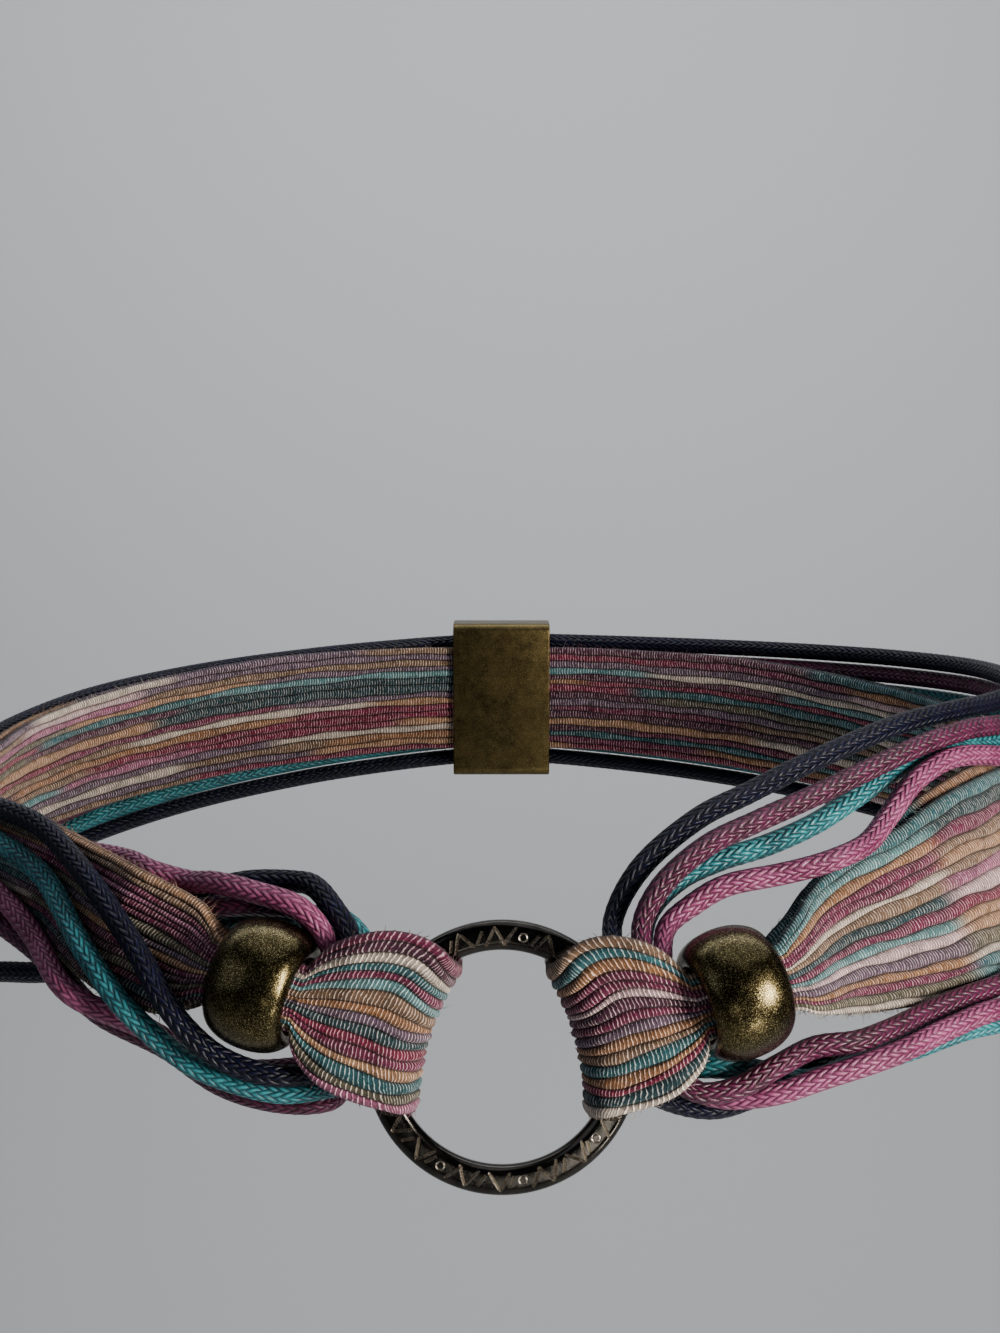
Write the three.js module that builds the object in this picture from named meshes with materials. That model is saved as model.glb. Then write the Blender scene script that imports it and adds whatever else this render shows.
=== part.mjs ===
// Woven belt in its worn form: two ribbed fabric bands, each folded round a centre ring and drawn through a
// metal bead, with four braided cords a side, closed at the back by a plain sleeve.
// Millimetres, +X to the wearer's left as seen from the front, +Y to the back, +Z up.
// The origin is the middle of the waist at the level of the back sleeve.
import * as THREE from "three";

// The waist that the belt is worn on: an ellipse that narrows with height.
const WAIST = {
  halfWidth: 162,
  halfDepth: 116,
  sideTaper: 0.25,
  depthTaper: 0.125,
  ringLevel: -80,
};
// The centre ring, a flat O-ring, and how far its middle stands off the waist.
const RING = { bore: 50, outer: 64, depth: 5, standOff: 5.6, corner: 3 };
const RING_Y = -(WAIST.halfDepth + RING.standOff);
// The barrel beads; the hole is drawn full by the two layers of fabric.
const BEAD = { diameter: 31, length: 19.6, hole: 18.6, lift: 16, barrel: 2.6 };
const CORD = { diameter: 5.5, sides: 6, longestStep: 21, sharpestTurn: 24 };
// The woven strip: six broad ribs across in the faceted solid.
const BAND = { ribs: 6, ribDepth: 0.6, outerSamples: 13, innerSamples: 5, clearance: 0.4 };
// The plain sleeve that holds every end at the back.
const SLEEVE = {
  turn: 180,
  height: 80,
  length: 34,
  tall: 54,
  wall: 1.5,
  inside: 1.1,
  outside: 16.2,
  corner: 3,
};
const CLASP_TURN = 178.6;

const COLOURS = {
  navy: 0x191832,
  magenta: 0x7c2a5d,
  teal: 0x24808a,
  pink: 0xb9628f,
  band: 0x9c6478,
  brass: 0x5d5238,
  ring: 0x37302a,
};

const radians = THREE.MathUtils.degToRad;

// A short table: the column names once, then one row of numbers per section.
function table(columns, rows) {
  return rows.map((row) =>
    Object.fromEntries(columns.map((name, i) => [name, row[i]])),
  );
}

// A point by the turn from the front (degrees), the height over the ring's middle and the lift off the waist.
function onWaist(turn, height, lift) {
  const across = WAIST.halfWidth - WAIST.sideTaper * height + lift;
  const deep = WAIST.halfDepth - WAIST.depthTaper * height + lift;
  return new THREE.Vector3(
    across * Math.sin(radians(turn)),
    -deep * Math.cos(radians(turn)),
    height + WAIST.ringLevel,
  );
}

// The waist's own directions at a place: along (more turn), up and out.
function waistFrame(turn, height, lift) {
  const along = onWaist(turn + 0.5, height, lift).sub(onWaist(turn - 0.5, height, lift));
  const up = onWaist(turn, height + 0.5, lift).sub(onWaist(turn, height - 0.5, lift));
  const perDegree = along.length();
  along.normalize();
  const out = new THREE.Vector3().crossVectors(along, up).normalize();
  return { along, up: new THREE.Vector3().crossVectors(out, along), out, perDegree };
}

// Smooth value of one column at a place s along a table, without overshoot.
function valueAt(rows, column, s) {
  const last = rows.length - 1;
  const i = Math.min(Math.floor(s), last - 1);
  const t = s - i;
  const step = (k) => rows[k + 1][column] - rows[k][column];
  const slope = (k) => {
    if (k <= 0 || k >= last) return 0.5 * (k <= 0 ? step(0) : step(last - 1));
    const a = step(k - 1);
    const b = step(k);
    return a * b <= 0 ? 0 : (2 * a * b) / (a + b);
  };
  const t2 = t * t;
  const t3 = t2 * t;
  return (
    (2 * t3 - 3 * t2 + 1) * rows[i][column] +
    (t3 - 2 * t2 + t) * slope(i) +
    (3 * t2 - 2 * t3) * rows[i + 1][column] +
    (t3 - t2) * slope(i + 1)
  );
}

// How full the strip's section is at the share u of its half width: 1 in the middle, 0 at the edges.
function fullness(u, power) {
  return Math.pow(Math.max(0, 1 - Math.pow(Math.abs(u), power)), 1 / power);
}

// The ribs' height at the share u, with grooves between them.
function ribHeight(u) {
  return BAND.ribDepth * (Math.cos(Math.PI * BAND.ribs * (u + 1)) - 1) * -0.5 - BAND.ribDepth * 0.5;
}

const OUTER_SHARES = Array.from(
  { length: BAND.outerSamples },
  (_, i) => -1 + (2 * i) / (BAND.outerSamples - 1),
);
const INNER_SHARES = Array.from(
  { length: BAND.innerSamples },
  (_, i) => 1 - (2 * (i + 1)) / (BAND.innerSamples + 1),
);

// Closed solid through a row of closed sections, all with the same number of points.
function skin(sections) {
  const count = sections[0].length;
  const points = sections.flat();
  const index = [];
  for (let k = 0; k + 1 < sections.length; k++)
    for (let i = 0; i < count; i++) {
      const a = k * count + i;
      const b = k * count + ((i + 1) % count);
      index.push(a, b, a + count, b, b + count, a + count);
    }
  for (const [k, turned] of [
    [0, true],
    [sections.length - 1, false],
  ]) {
    const middle = points.length;
    const centre = new THREE.Vector3();
    sections[k].forEach((p) => centre.addScaledVector(p, 1 / count));
    points.push(centre);
    for (let i = 0; i < count; i++) {
      const a = k * count + i;
      const b = k * count + ((i + 1) % count);
      index.push(...(turned ? [middle, b, a] : [middle, a, b]));
    }
  }
  return solid(points, index);
}

// Geometry from points and faces, turned so that its faces look out.
function solid(points, index) {
  let volume = 0;
  for (let i = 0; i < index.length; i += 3) {
    const [a, b, c] = [points[index[i]], points[index[i + 1]], points[index[i + 2]]];
    volume += a.dot(new THREE.Vector3().crossVectors(b, c));
  }
  if (volume < 0)
    for (let i = 0; i < index.length; i += 3) [index[i + 1], index[i + 2]] = [index[i + 2], index[i + 1]];
  const geometry = new THREE.BufferGeometry().setFromPoints(points);
  geometry.setIndex(index);
  geometry.computeVertexNormals();
  return geometry;
}

const LAYER = ["turn", "height", "lift", "width", "thick", "tilt", "edge"];
// Each side: where its bead sits, the ring arc its loop covers, and the two layers from the bead to the back.
// The layers' heights run over the ring's middle, their lifts are those of the strip's mid surface.
const RIGHT = {
  sign: 1,
  bead: { turn: 18, height: 15.3, tilt: 16 },
  loop: { middle: 15.6, half: 49, bulge: 4.5 },
  outer: table(LAYER, [
    [14.5, 12.8, 19.3, 15.4, 5.4, 16, 2.2],
    [21.5, 18.6, 19.3, 15.4, 5.4, 16, 2.2],
    [23.2, 19.5, 18.5, 20, 4.4, 17, 3],
    [25.4, 21, 16, 25, 3.4, 18, 4],
    [28, 22.7, 11.6, 30, 2.9, 17, 5],
    [31, 24.4, 8.4, 34.5, 2.6, 15, 6],
    [36, 26.6, 6, 40, 2.6, 14, 6],
    [42, 29.2, 5.2, 44.5, 2.6, 13, 6],
    [49, 32.8, 5.1, 50, 2.6, 13, 6],
    [60, 36, 5, 54, 2.6, 11, 6],
    [70, 38.5, 5, 53, 2.6, 12, 6],
    [80, 43, 5, 50, 2.6, 13, 6],
    [95, 51, 5, 46, 2.6, 13, 6],
    [120, 64, 5, 41, 2.6, 11, 6],
    [150, 76, 5.2, 38, 2.6, 5, 6],
    [170, 79.7, 7.2, 36, 2.6, 1, 6],
    [CLASP_TURN, 80, 7, 36, 2.6, 0, 6],
  ]),
  inner: table(LAYER, [
    [14.5, 12, 12.7, 15.4, 5.4, 16, 2.2],
    [21.5, 17.8, 12.7, 15.4, 5.4, 16, 2.2],
    [23.2, 18.8, 11.9, 19, 4.4, 17, 3],
    [25.4, 20, 10.4, 24, 3.2, 17, 4],
    [28, 21.6, 7.6, 30, 2.8, 16, 5],
    [31, 23.4, 4.9, 35, 2.6, 14, 6],
    [36, 26.2, 2.8, 41, 2.6, 14, 6],
    [42, 29, 2.1, 46, 2.6, 13, 6],
    [49, 34, 2, 50, 2.6, 13, 6],
    [60, 38, 1.9, 54, 2.6, 11, 6],
    [70, 40.5, 1.9, 53, 2.6, 12, 6],
    [80, 45, 1.9, 50, 2.6, 13, 6],
    [95, 52, 1.9, 46, 2.6, 13, 6],
    [120, 64, 1.9, 41, 2.6, 11, 6],
    [150, 76, 2.1, 38, 2.6, 5, 6],
    [170, 79.7, 4.1, 36, 2.6, 1, 6],
    [CLASP_TURN, 80, 3.9, 36, 2.6, 0, 6],
  ]),
};
const LEFT = {
  sign: -1,
  bead: { turn: 18.6, height: 17.1, tilt: 15 },
  loop: { middle: 18, half: 49, bulge: 4.5 },
  outer: table(LAYER, [
    [15.1, 14.75, 19.3, 15.4, 5.4, 15, 2.2],
    [22.1, 20.25, 19.3, 15.4, 5.4, 15, 2.2],
    [24, 21.1, 19, 23, 4.2, 18, 3],
    [26, 22.6, 18, 28, 3.4, 22, 4],
    [28.5, 25, 17.4, 29, 2.9, 24, 5],
    [32, 28.4, 17.6, 29.5, 2.6, 24, 6],
    [37, 32.5, 14.2, 28, 2.6, 24, 6],
    [43, 37.5, 11.5, 25, 2.6, 20, 6],
    [51, 41.5, 11.3, 25, 2.6, 12, 6],
    [60, 43.5, 11.3, 27, 2.6, 8, 6],
    [70, 45, 11.2, 30, 2.6, 8, 6],
    [80, 47, 10.7, 33, 2.6, 10, 6],
    [92, 52, 5.2, 37, 2.6, 13, 6],
    [105, 57.5, 5, 38, 2.6, 13, 6],
    [125, 66.5, 5, 38, 2.6, 11, 6],
    [150, 76, 5.2, 38, 2.6, 5, 6],
    [170, 79.7, 7.2, 36, 2.6, 1, 6],
    [CLASP_TURN, 80, 7, 36, 2.6, 0, 6],
  ]),
  inner: table(LAYER, [
    [15.1, 13.95, 12.7, 15.4, 5.4, 15, 2.2],
    [22.1, 19.45, 12.7, 15.4, 5.4, 15, 2.2],
    [24, 19.8, 12.9, 20, 4, 16, 3],
    [26, 20.6, 13.4, 25, 3.2, 20, 4],
    [28.5, 22.8, 14, 28, 2.8, 22, 5],
    [32, 26.4, 14.4, 29.5, 2.6, 22, 6],
    [37, 30.5, 11, 28, 2.6, 22, 6],
    [43, 36, 8.2, 25.5, 2.6, 20, 6],
    [51, 40.5, 8.1, 26, 2.6, 12, 6],
    [60, 42.5, 8.1, 27, 2.6, 8, 6],
    [70, 44.5, 8, 30, 2.6, 8, 6],
    [80, 47, 7.5, 33, 2.6, 10, 6],
    [92, 52, 2.1, 37, 2.6, 13, 6],
    [105, 57.5, 1.9, 38, 2.6, 13, 6],
    [125, 66.5, 1.9, 38, 2.6, 11, 6],
    [150, 76, 2.1, 38, 2.6, 5, 6],
    [170, 79.7, 4.1, 36, 2.6, 1, 6],
    [CLASP_TURN, 80, 3.9, 36, 2.6, 0, 6],
  ]),
};
// Between the bead and the ring, by the distance from the bead's mouth: how far the loop's inner faces stand
// before and behind the ring's mid plane, and how much the shape is already the bead's.
const REACH = table(
  ["gap", "front", "back", "thick", "edge", "bead"],
  [
    [0, 5.6, -3, 5.4, 2.2, 1],
    [2.4, 5.9, -1, 4.6, 2.6, 0.6],
    [4.4, 6.6, 1.8, 3.6, 3.4, 0.1],
    [6.6, 7.6, 4.2, 3, 4.5, 0],
    [9, 8.2, 5.2, 2.8, 5, 0],
    [12, 8.3, 4.8, 2.6, 6, 0],
    [15, 8.1, 3.2, 2.6, 6, 0],
    [18, 8.1, 3.1, 2.6, 6, 0],
  ],
);
const AT_RING = REACH[REACH.length - 1];
const REACH_WAYS = [0.12, 0.26, 0.4, 0.54, 0.67, 0.79, 0.9];
// The loop's front face: how far it is lifted and drawn together where it lies on the ring, the directions in
// which it leaves the ring and enters the bead, and how hard its middle and its edges pull in them. The back
// face runs straight.
const FRONT = { lifted: 2.9, drawn: 5.6, leave: 31, spread: 19, enter: 76, pull: 16, edgePull: 18 };
const BACK_PULL = 11;
const WRAP_ANGLES = [25, 52, 78, 102, 128, 155];

// One section of a layer between the bead and the back. The outside of the strip faces out on the outer layer
// and the waist on the inner one, because the strip turns over round the ring.
function layerSection(rows, s, facing) {
  const at = (column) => valueAt(rows, column, s);
  const [turn, height, lift, width, thick, tilt, edge] = LAYER.map(at);
  const frame = waistFrame(turn, height, lift);
  const place = (u, off) => {
    const reach = (width / 2) * u;
    const up = reach * Math.cos(radians(tilt));
    const back = (-reach * Math.sin(radians(tilt))) / frame.perDegree;
    return onWaist(turn + back, height + up, lift + off);
  };
  return [
    ...OUTER_SHARES.map((u) => place(u, facing * (thick / 2 + ribHeight(u)) * fullness(u, edge))),
    ...INNER_SHARES.map((u) => place(u, (-facing * thick * fullness(u, edge)) / 2)),
  ];
}

// The reach table's row at a distance from the mouth.
function reachAt(gap) {
  const k = REACH.findIndex((row) => row.gap >= gap);
  if (k < 0) return AT_RING;
  const s = k === 0 ? 0 : k - 1 + (gap - REACH[k - 1].gap) / (REACH[k].gap - REACH[k - 1].gap);
  return Object.fromEntries(Object.keys(AT_RING).map((column) => [column, valueAt(REACH, column, s)]));
}

// The direction of a bead's hole, away from the ring.
function beadAxis(side) {
  const { along, up } = waistFrame(side.bead.turn, side.bead.height, BEAD.lift);
  const tilt = radians(side.bead.tilt);
  return along.multiplyScalar(Math.cos(tilt)).addScaledVector(up, Math.sin(tilt));
}

// The angle round the ring at the share u of the loop's half width; drawn is 1 on the front face, 0 at the
// fold and behind it.
function loopAngle(side, u, drawn) {
  const { middle, half } = side.loop;
  return radians(middle + FRONT.lifted * drawn + (half - FRONT.drawn * drawn) * u);
}

// One section of the loop between the ring (way 0) and the bead's mouth (way 1).
function reachSection(side, rows, way, facing) {
  const mouth = layerSection(rows, 0, facing);
  const axis = beadAxis(side);
  const { out } = waistFrame(side.bead.turn, side.bead.height, BEAD.lift);
  const across = new THREE.Vector3().crossVectors(axis, out);
  const middle = onWaist(rows[0].turn, rows[0].height, BEAD.lift);
  const start = RING.bore / 2 + RING.corner;
  const t2 = way * way;
  const t3 = t2 * way;
  return [...OUTER_SHARES, ...INNER_SHARES].map((u, i) => {
    const front = facing > 0;
    const angle = loopAngle(side, u, front ? 1 : 0);
    const radial = new THREE.Vector3(Math.cos(angle), 0, Math.sin(angle));
    const leave = front ? radians(FRONT.leave + FRONT.spread * u) : angle;
    const enter = front ? radians(FRONT.enter * u) : 0;
    const pull = front ? FRONT.pull + FRONT.edgePull * u * u : BACK_PULL;
    const p = radial
      .clone()
      .multiplyScalar(start)
      .setZ(radial.z * start + WAIST.ringLevel)
      .multiplyScalar(2 * t3 - 3 * t2 + 1)
      .addScaledVector(
        new THREE.Vector3(Math.cos(leave), 0, Math.sin(leave)),
        pull * (t3 - 2 * t2 + way),
      )
      .addScaledVector(mouth[i], 3 * t2 - 2 * t3)
      .addScaledVector(axis, pull * Math.cos(enter) * (t3 - t2))
      .addScaledVector(across, pull * Math.sin(enter) * (t3 - t2));
    const at = reachAt(Math.max(0, (middle.x - p.x) * axis.x + (middle.z - p.z) * axis.z));
    const depth = facing > 0 ? at.front : at.back;
    const extra = i < OUTER_SHARES.length ? (at.thick + ribHeight(u)) * fullness(u, at.edge) : 0;
    const y = RING_Y - facing * (depth + extra);
    p.y = y + (mouth[i].y - y) * at.bead;
    return p;
  });
}

// One section of the fold round the ring's wire; 0 degrees is its front, 180 its back.
function wrapSection(side, degrees) {
  const c = Math.cos(radians(degrees));
  const s = Math.sin(radians(degrees));
  const start = RING.bore / 2 + RING.corner;
  const depth = c > 0 ? AT_RING.front : AT_RING.back;
  return [...OUTER_SHARES, ...INNER_SHARES].map((u, i) => {
    const onOuter = i < OUTER_SHARES.length;
    const angle = loopAngle(side, u, c > 0 ? 1 - s : 0);
    const extra = onOuter ? (AT_RING.thick + ribHeight(u)) * fullness(u, AT_RING.edge) : 0;
    const bulge = side.loop.bulge * (1 - u * u);
    const radius = start - (RING.corner + BAND.clearance + bulge + extra) * s;
    return new THREE.Vector3(
      radius * Math.cos(angle),
      RING_Y - (depth + extra) * c,
      radius * Math.sin(angle) + WAIST.ringLevel,
    );
  });
}

// The whole strip of one side, from the sleeve over the front of the ring and back to the sleeve.
function bandGeometry(side) {
  const last = side.outer.length - 1;
  const spots = [];
  for (let s = last; s > 0; s--) {
    spots.push(s);
    if (s > last - 5 && s < last) spots.push(s - 0.5);
  }
  const sections = [
    ...spots.map((s) => layerSection(side.outer, s, 1)),
    layerSection(side.outer, 0, 1),
    ...[...REACH_WAYS].reverse().map((way) => reachSection(side, side.outer, way, 1)),
    reachSection(side, side.outer, 0, 1),
    ...WRAP_ANGLES.map((angle) => wrapSection(side, angle)),
    reachSection(side, side.inner, 0, -1),
    ...REACH_WAYS.map((way) => reachSection(side, side.inner, way, -1)),
    layerSection(side.inner, 0, -1),
    ...[...spots].reverse().map((s) => layerSection(side.inner, s, -1)),
  ];
  return skin(sections.map((points) => points.map((p) => p.setX(side.sign * p.x))));
}

// Cord routes. Each cord runs from the sleeve along its upper leg, down through the fabric's loop between ring
// and bead, and back along its lower leg. Rows run outwards from the loop; the loop's rows run downwards.
const ROUTE = ["turn", "height", "lift"];
const PASS = ["across", "height", "ahead"];
const SLOT_PITCH = 5.8;
const RIGHT_CORDS = {
  navy: {
    upper: table(ROUTE, [
      [9.5, 30.5, 4.2],
      [12.2, 42.5, 3.2],
      [18.2, 54.5, 3.2],
      [23.5, 60.2, 3.2],
      [29.3, 66, 3.2],
      [35.9, 71.3, 3.2],
      [43.6, 76, 3.2],
      [55.9, 79.5, 3.2],
      [65, 81, 4.6],
      [76, 84.6, 10.6],
    ]),
    loop: table(PASS, [
      [27.4, 20, 4.8],
      [29.2, 11, 5.4],
      [30, 2, 5.5],
      [32.4, -5.5, 4.4],
    ]),
    lower: table(ROUTE, [
      [13.6, -11.3, 4.1],
      [17.3, -13.3, 3.1],
      [21, -11, 3.1],
      [24.5, -7, 3.1],
      [28.7, -2.2, 3.1],
      [35, -0.5, 3.1],
      [42, 1.6, 3.1],
      [49.5, 1.6, 3.1],
      [60, 3.4, 3.2],
      [68, 5.2, 5.5],
      [76, 9.6, 10.6],
    ]),
  },
  magenta: {
    upper: table(ROUTE, [
      [11.5, 30.5, 9.7],
      [13.4, 39, 9],
      [17.8, 48.2, 8.5],
      [22.9, 53.8, 8.5],
      [28.6, 59, 8.5],
      [34.9, 64.5, 8.5],
      [42.3, 70, 8.5],
      [51.9, 74.3, 8.5],
      [65, 75.8, 9.4],
      [76, 78.5, 10.6],
    ]),
    loop: table(PASS, [
      [33, 21, 3.8],
      [34.2, 12, 3.9],
      [34.7, 3, 4.6],
      [38.2, -2.8, 5.2],
    ]),
    lower: table(ROUTE, [
      [14.6, -7, 14.2],
      [17.5, -6.4, 15.2],
      [21, -2, 15.2],
      [24.6, 1.6, 14.4],
      [28, 2.6, 16.4],
      [31.5, 4, 14.6],
      [37.5, 6.6, 10.9],
      [42.9, 8.9, 10],
      [49.3, 11, 9.9],
      [60, 18, 10.2],
      [76, 28, 10.6],
    ]),
  },
  teal: {
    upper: table(ROUTE, [
      [12.8, 32.1, 3.4],
      [15.6, 39.6, 3.2],
      [19.6, 44.1, 3.2],
      [24.7, 47.5, 3.2],
      [30.4, 52.4, 3.2],
      [35.6, 58.2, 3.2],
      [41.8, 64.7, 3.2],
      [49.3, 69.4, 3.2],
      [62, 70.2, 3.8],
      [76, 72.2, 10.6],
    ]),
    loop: table(PASS, [
      [33, 21.6, -1.6],
      [34.6, 12, -1.9],
      [35.4, 3, -1.9],
      [38.2, -2.2, -2.2],
    ]),
    lower: table(ROUTE, [
      [14.8, -3.6, 4],
      [17.3, -3.4, 5.6],
      [21, -4.6, 7],
      [23, -6.3, 8.8],
      [25, -7, 9.3],
      [28.7, -4.8, 9.8],
      [35, -2.3, 9.2],
      [42, 0.7, 9.1],
      [49.5, 1.6, 9.2],
      [60, 5.8, 9.7],
      [76, 15.8, 10.6],
    ]),
  },
  pink: {
    upper: table(ROUTE, [
      [13.7, 29.6, 8.8],
      [16.3, 35, 8.6],
      [19.1, 38.8, 8.8],
      [24.1, 41.4, 10.8],
      [26.6, 43, 12.8],
      [29.4, 45, 13.6],
      [33.7, 48, 10.8],
      [37.5, 54, 8.8],
      [41.8, 62, 8.7],
      [48.2, 67.4, 9],
      [63.3, 66.6, 9.9],
      [76, 66, 10.6],
    ]),
    loop: table(PASS, [
      [37.3, 22, 2.6],
      [38, 13, 3],
      [38.5, 4, 2.3],
      [42, -4.2, 1],
    ]),
    lower: table(ROUTE, [
      [15.6, -8.5, 7.4],
      [17.5, -9.8, 8.8],
      [21, -8.6, 13],
      [24.5, -5.3, 16],
      [30.4, -0.6, 19.2],
      [37.3, 3.2, 16.2],
      [42.7, 5.7, 15.4],
      [49.2, 6.6, 14.9],
      [60, 11.6, 11.2],
      [76, 21.9, 10.6],
    ]),
  },
};
const LEFT_CORDS = {
  navy: {
    upper: table(ROUTE, [
      [12.2, 28.6, 13.3],
      [14.2, 35, 10.4],
      [16.4, 38.9, 6.6],
      [18.9, 39.4, 3.4],
      [23.8, 38.8, 3.2],
      [27.9, 35.2, 3.2],
      [31, 29.2, 3.2],
      [33, 24.2, 3.2],
      [35, 20.8, 3.2],
      [40, 17, 3.2],
      [45.3, 13.6, 3.2],
      [52.9, 11.7, 3.2],
      [66, 8, 3.2],
      [79, 6.4, 3.8],
      [92, 9, 10.6],
    ]),
    loop: table(PASS, [
      [34.9, 20.6, 5.4],
      [36, 12, 3.9],
      [36.8, 4, 3.9],
      [38.8, -1.4, 5.8],
    ]),
    lower: table(ROUTE, [
      [14.9, -3.4, 12.6],
      [17.7, -3.2, 15.6],
      [21.1, 0.7, 18.8],
      [23.2, 6.6, 22.4],
      [25.2, 13.8, 24.6],
      [27.6, 22.5, 24.2],
      [30.5, 30.2, 22.9],
      [33.4, 36.5, 21.3],
      [37, 42.5, 19],
      [44, 51, 16],
      [52.9, 55.2, 15.9],
      [66, 58, 16.6],
      [79, 61, 17],
      [92, 67, 10.8],
    ]),
  },
  teal: {
    upper: table(ROUTE, [
      [11.6, 26.8, 7.4],
      [14.5, 31.2, 3.3],
      [17.7, 31.2, 3.2],
      [21.6, 31.6, 3.2],
      [24.4, 29.8, 3.4],
      [27.5, 26.5, 7],
      [30, 27.4, 9],
      [33, 30.2, 9],
      [35, 31, 8],
      [38, 31.4, 5],
      [43, 32, 3.2],
      [50, 33.4, 3.2],
      [57, 30.6, 3.2],
      [68, 21.4, 3.2],
      [79, 13, 3.8],
      [92, 15.2, 10.6],
    ]),
    loop: table(PASS, [
      [30.8, 20.5, 1],
      [30.4, 14, 4.3],
      [30.4, 7, 5.4],
      [31.8, 0, 5.4],
      [35.4, -4.6, 5.4],
    ]),
    lower: table(ROUTE, [
      [14, -7.4, 8.4],
      [16.9, -8.2, 10.2],
      [20, -6.4, 12.8],
      [24.1, -1.6, 16],
      [28.9, 10.8, 22.4],
      [32, 19.2, 23],
      [35.1, 26.8, 21.9],
      [42.5, 39.1, 16.1],
      [51.5, 46.9, 15.9],
      [66, 50.5, 16.6],
      [79, 54, 17],
      [92, 60, 10.8],
    ]),
  },
  magenta: {
    upper: table(ROUTE, [
      [13.5, 26.1, 9.4],
      [15.6, 29.4, 8.4],
      [17.2, 33.6, 9.2],
      [20.6, 34.4, 9.2],
      [24, 33.8, 9.3],
      [27.5, 32.6, 9.2],
      [32, 35.4, 9],
      [35, 36.8, 6.8],
      [38, 37.2, 4.6],
      [43, 38, 3.2],
      [50, 40, 3.2],
      [57, 37.8, 3.2],
      [68, 28.4, 3.2],
      [79, 19.8, 3.8],
      [92, 21.6, 10.6],
    ]),
    loop: table(PASS, [
      [35.1, 20.5, -0.2],
      [35.2, 11, -1.9],
      [35.4, 2.6, -1.7],
      [36.2, -4.8, -1.2],
    ]),
    lower: table(ROUTE, [
      [13.6, -10.6, 3.2],
      [15.6, -11.6, 4.8],
      [19.4, -11.2, 4.8],
      [23.8, -8.6, 3.6],
      [28.7, -0.8, 6],
      [34.4, 7.2, 12.2],
      [40.6, 17.2, 12.4],
      [45, 22.6, 12.9],
      [50.1, 28.2, 15.7],
      [66, 33.5, 16.6],
      [79, 38.2, 17],
      [92, 45.2, 10.8],
    ]),
  },
  pink: {
    upper: table(ROUTE, [
      [14.3, 29.4, 14.5],
      [16.2, 34.8, 15.6],
      [20.4, 38, 14.6],
      [24.6, 39.6, 12.4],
      [27.5, 39.2, 9.6],
      [32, 41.2, 9],
      [35, 42.8, 6.8],
      [38, 43.4, 4.4],
      [43, 44.2, 3.2],
      [50, 46.4, 3.2],
      [57, 45, 3.2],
      [68, 35.4, 3.2],
      [79, 26.6, 3.8],
      [92, 28, 10.6],
    ]),
    loop: table(PASS, [
      [38.8, 20, 2.2],
      [40, 11, 1.6],
      [41.2, 4, 1],
      [42.8, -1.4, -1.6],
    ]),
    lower: table(ROUTE, [
      [15.6, -3, 4.8],
      [16.8, -3.8, 4.6],
      [20.4, -4.4, 7],
      [23.9, -2.4, 10.4],
      [29, 4.2, 12],
      [34.8, 13.2, 21.6],
      [41.8, 24.4, 16.8],
      [46, 30.8, 16.2],
      [51, 35.8, 16.1],
      [66, 39.8, 16.6],
      [79, 44.4, 17],
      [92, 51.4, 10.8],
    ]),
  },
};
// Order of the cord ends in the sleeve, from the top.
const RIGHT_SLOTS = ["navy upper", "magenta upper", "teal upper", "pink upper", "magenta lower", "pink lower",
  "teal lower", "navy lower"];
const LEFT_SLOTS = ["navy lower", "teal lower", "pink lower", "magenta lower", "pink upper", "magenta upper",
  "teal upper", "navy upper"];
const CORD_LIFT_IN_SLEEVE = 12.6;
const SQUEEZE = 0.78;

// A leg from its last row on to the sleeve: points and the cord's size at each.
function legPoints(rows, slot) {
  const end = SLEEVE.height + SLOT_PITCH * (3.5 - slot);
  const last = rows[rows.length - 1];
  const tail = [100, 118, 136, 154, 168, CLASP_TURN].map((turn) => {
    const share = (turn - last.turn) / (CLASP_TURN - last.turn);
    const eased = share * (1.6 - 0.6 * share);
    return {
      turn,
      height: last.height + (end - last.height) * eased,
      lift: last.lift + (CORD_LIFT_IN_SLEEVE - last.lift) * share * share,
    };
  });
  return [...rows, ...tail].map((row) => ({ at: onWaist(row.turn, row.height, row.lift), size: 1 }));
}

function cordPoints(route, slots, colour) {
  const upper = legPoints(route.upper, slots.indexOf(colour + " upper"));
  const lower = legPoints(route.lower, slots.indexOf(colour + " lower"));
  const loop = route.loop.map((row) => ({
    at: new THREE.Vector3(row.across, RING_Y - row.ahead, row.height + WAIST.ringLevel),
    size: SQUEEZE,
  }));
  upper[0].size = 0.9;
  lower[0].size = 0.9;
  return [...upper.reverse(), ...loop, ...lower];
}

// Places along a cord's curve: long steps where it runs straight, short ones where it bends.
function cordSteps(curve, spans) {
  const fine = spans * 16;
  const steps = [0];
  let from = curve.getPoint(0);
  let heading = curve.getTangent(0);
  for (let k = 1; k < fine; k++) {
    const t = k / fine;
    const point = curve.getPoint(t);
    const along = curve.getTangent(t);
    const turnedBy = THREE.MathUtils.radToDeg(along.angleTo(heading));
    if (point.distanceTo(from) < CORD.longestStep && turnedBy < CORD.sharpestTurn) continue;
    steps.push(t);
    from = point;
    heading = along;
  }
  return [...steps, 1];
}

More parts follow.
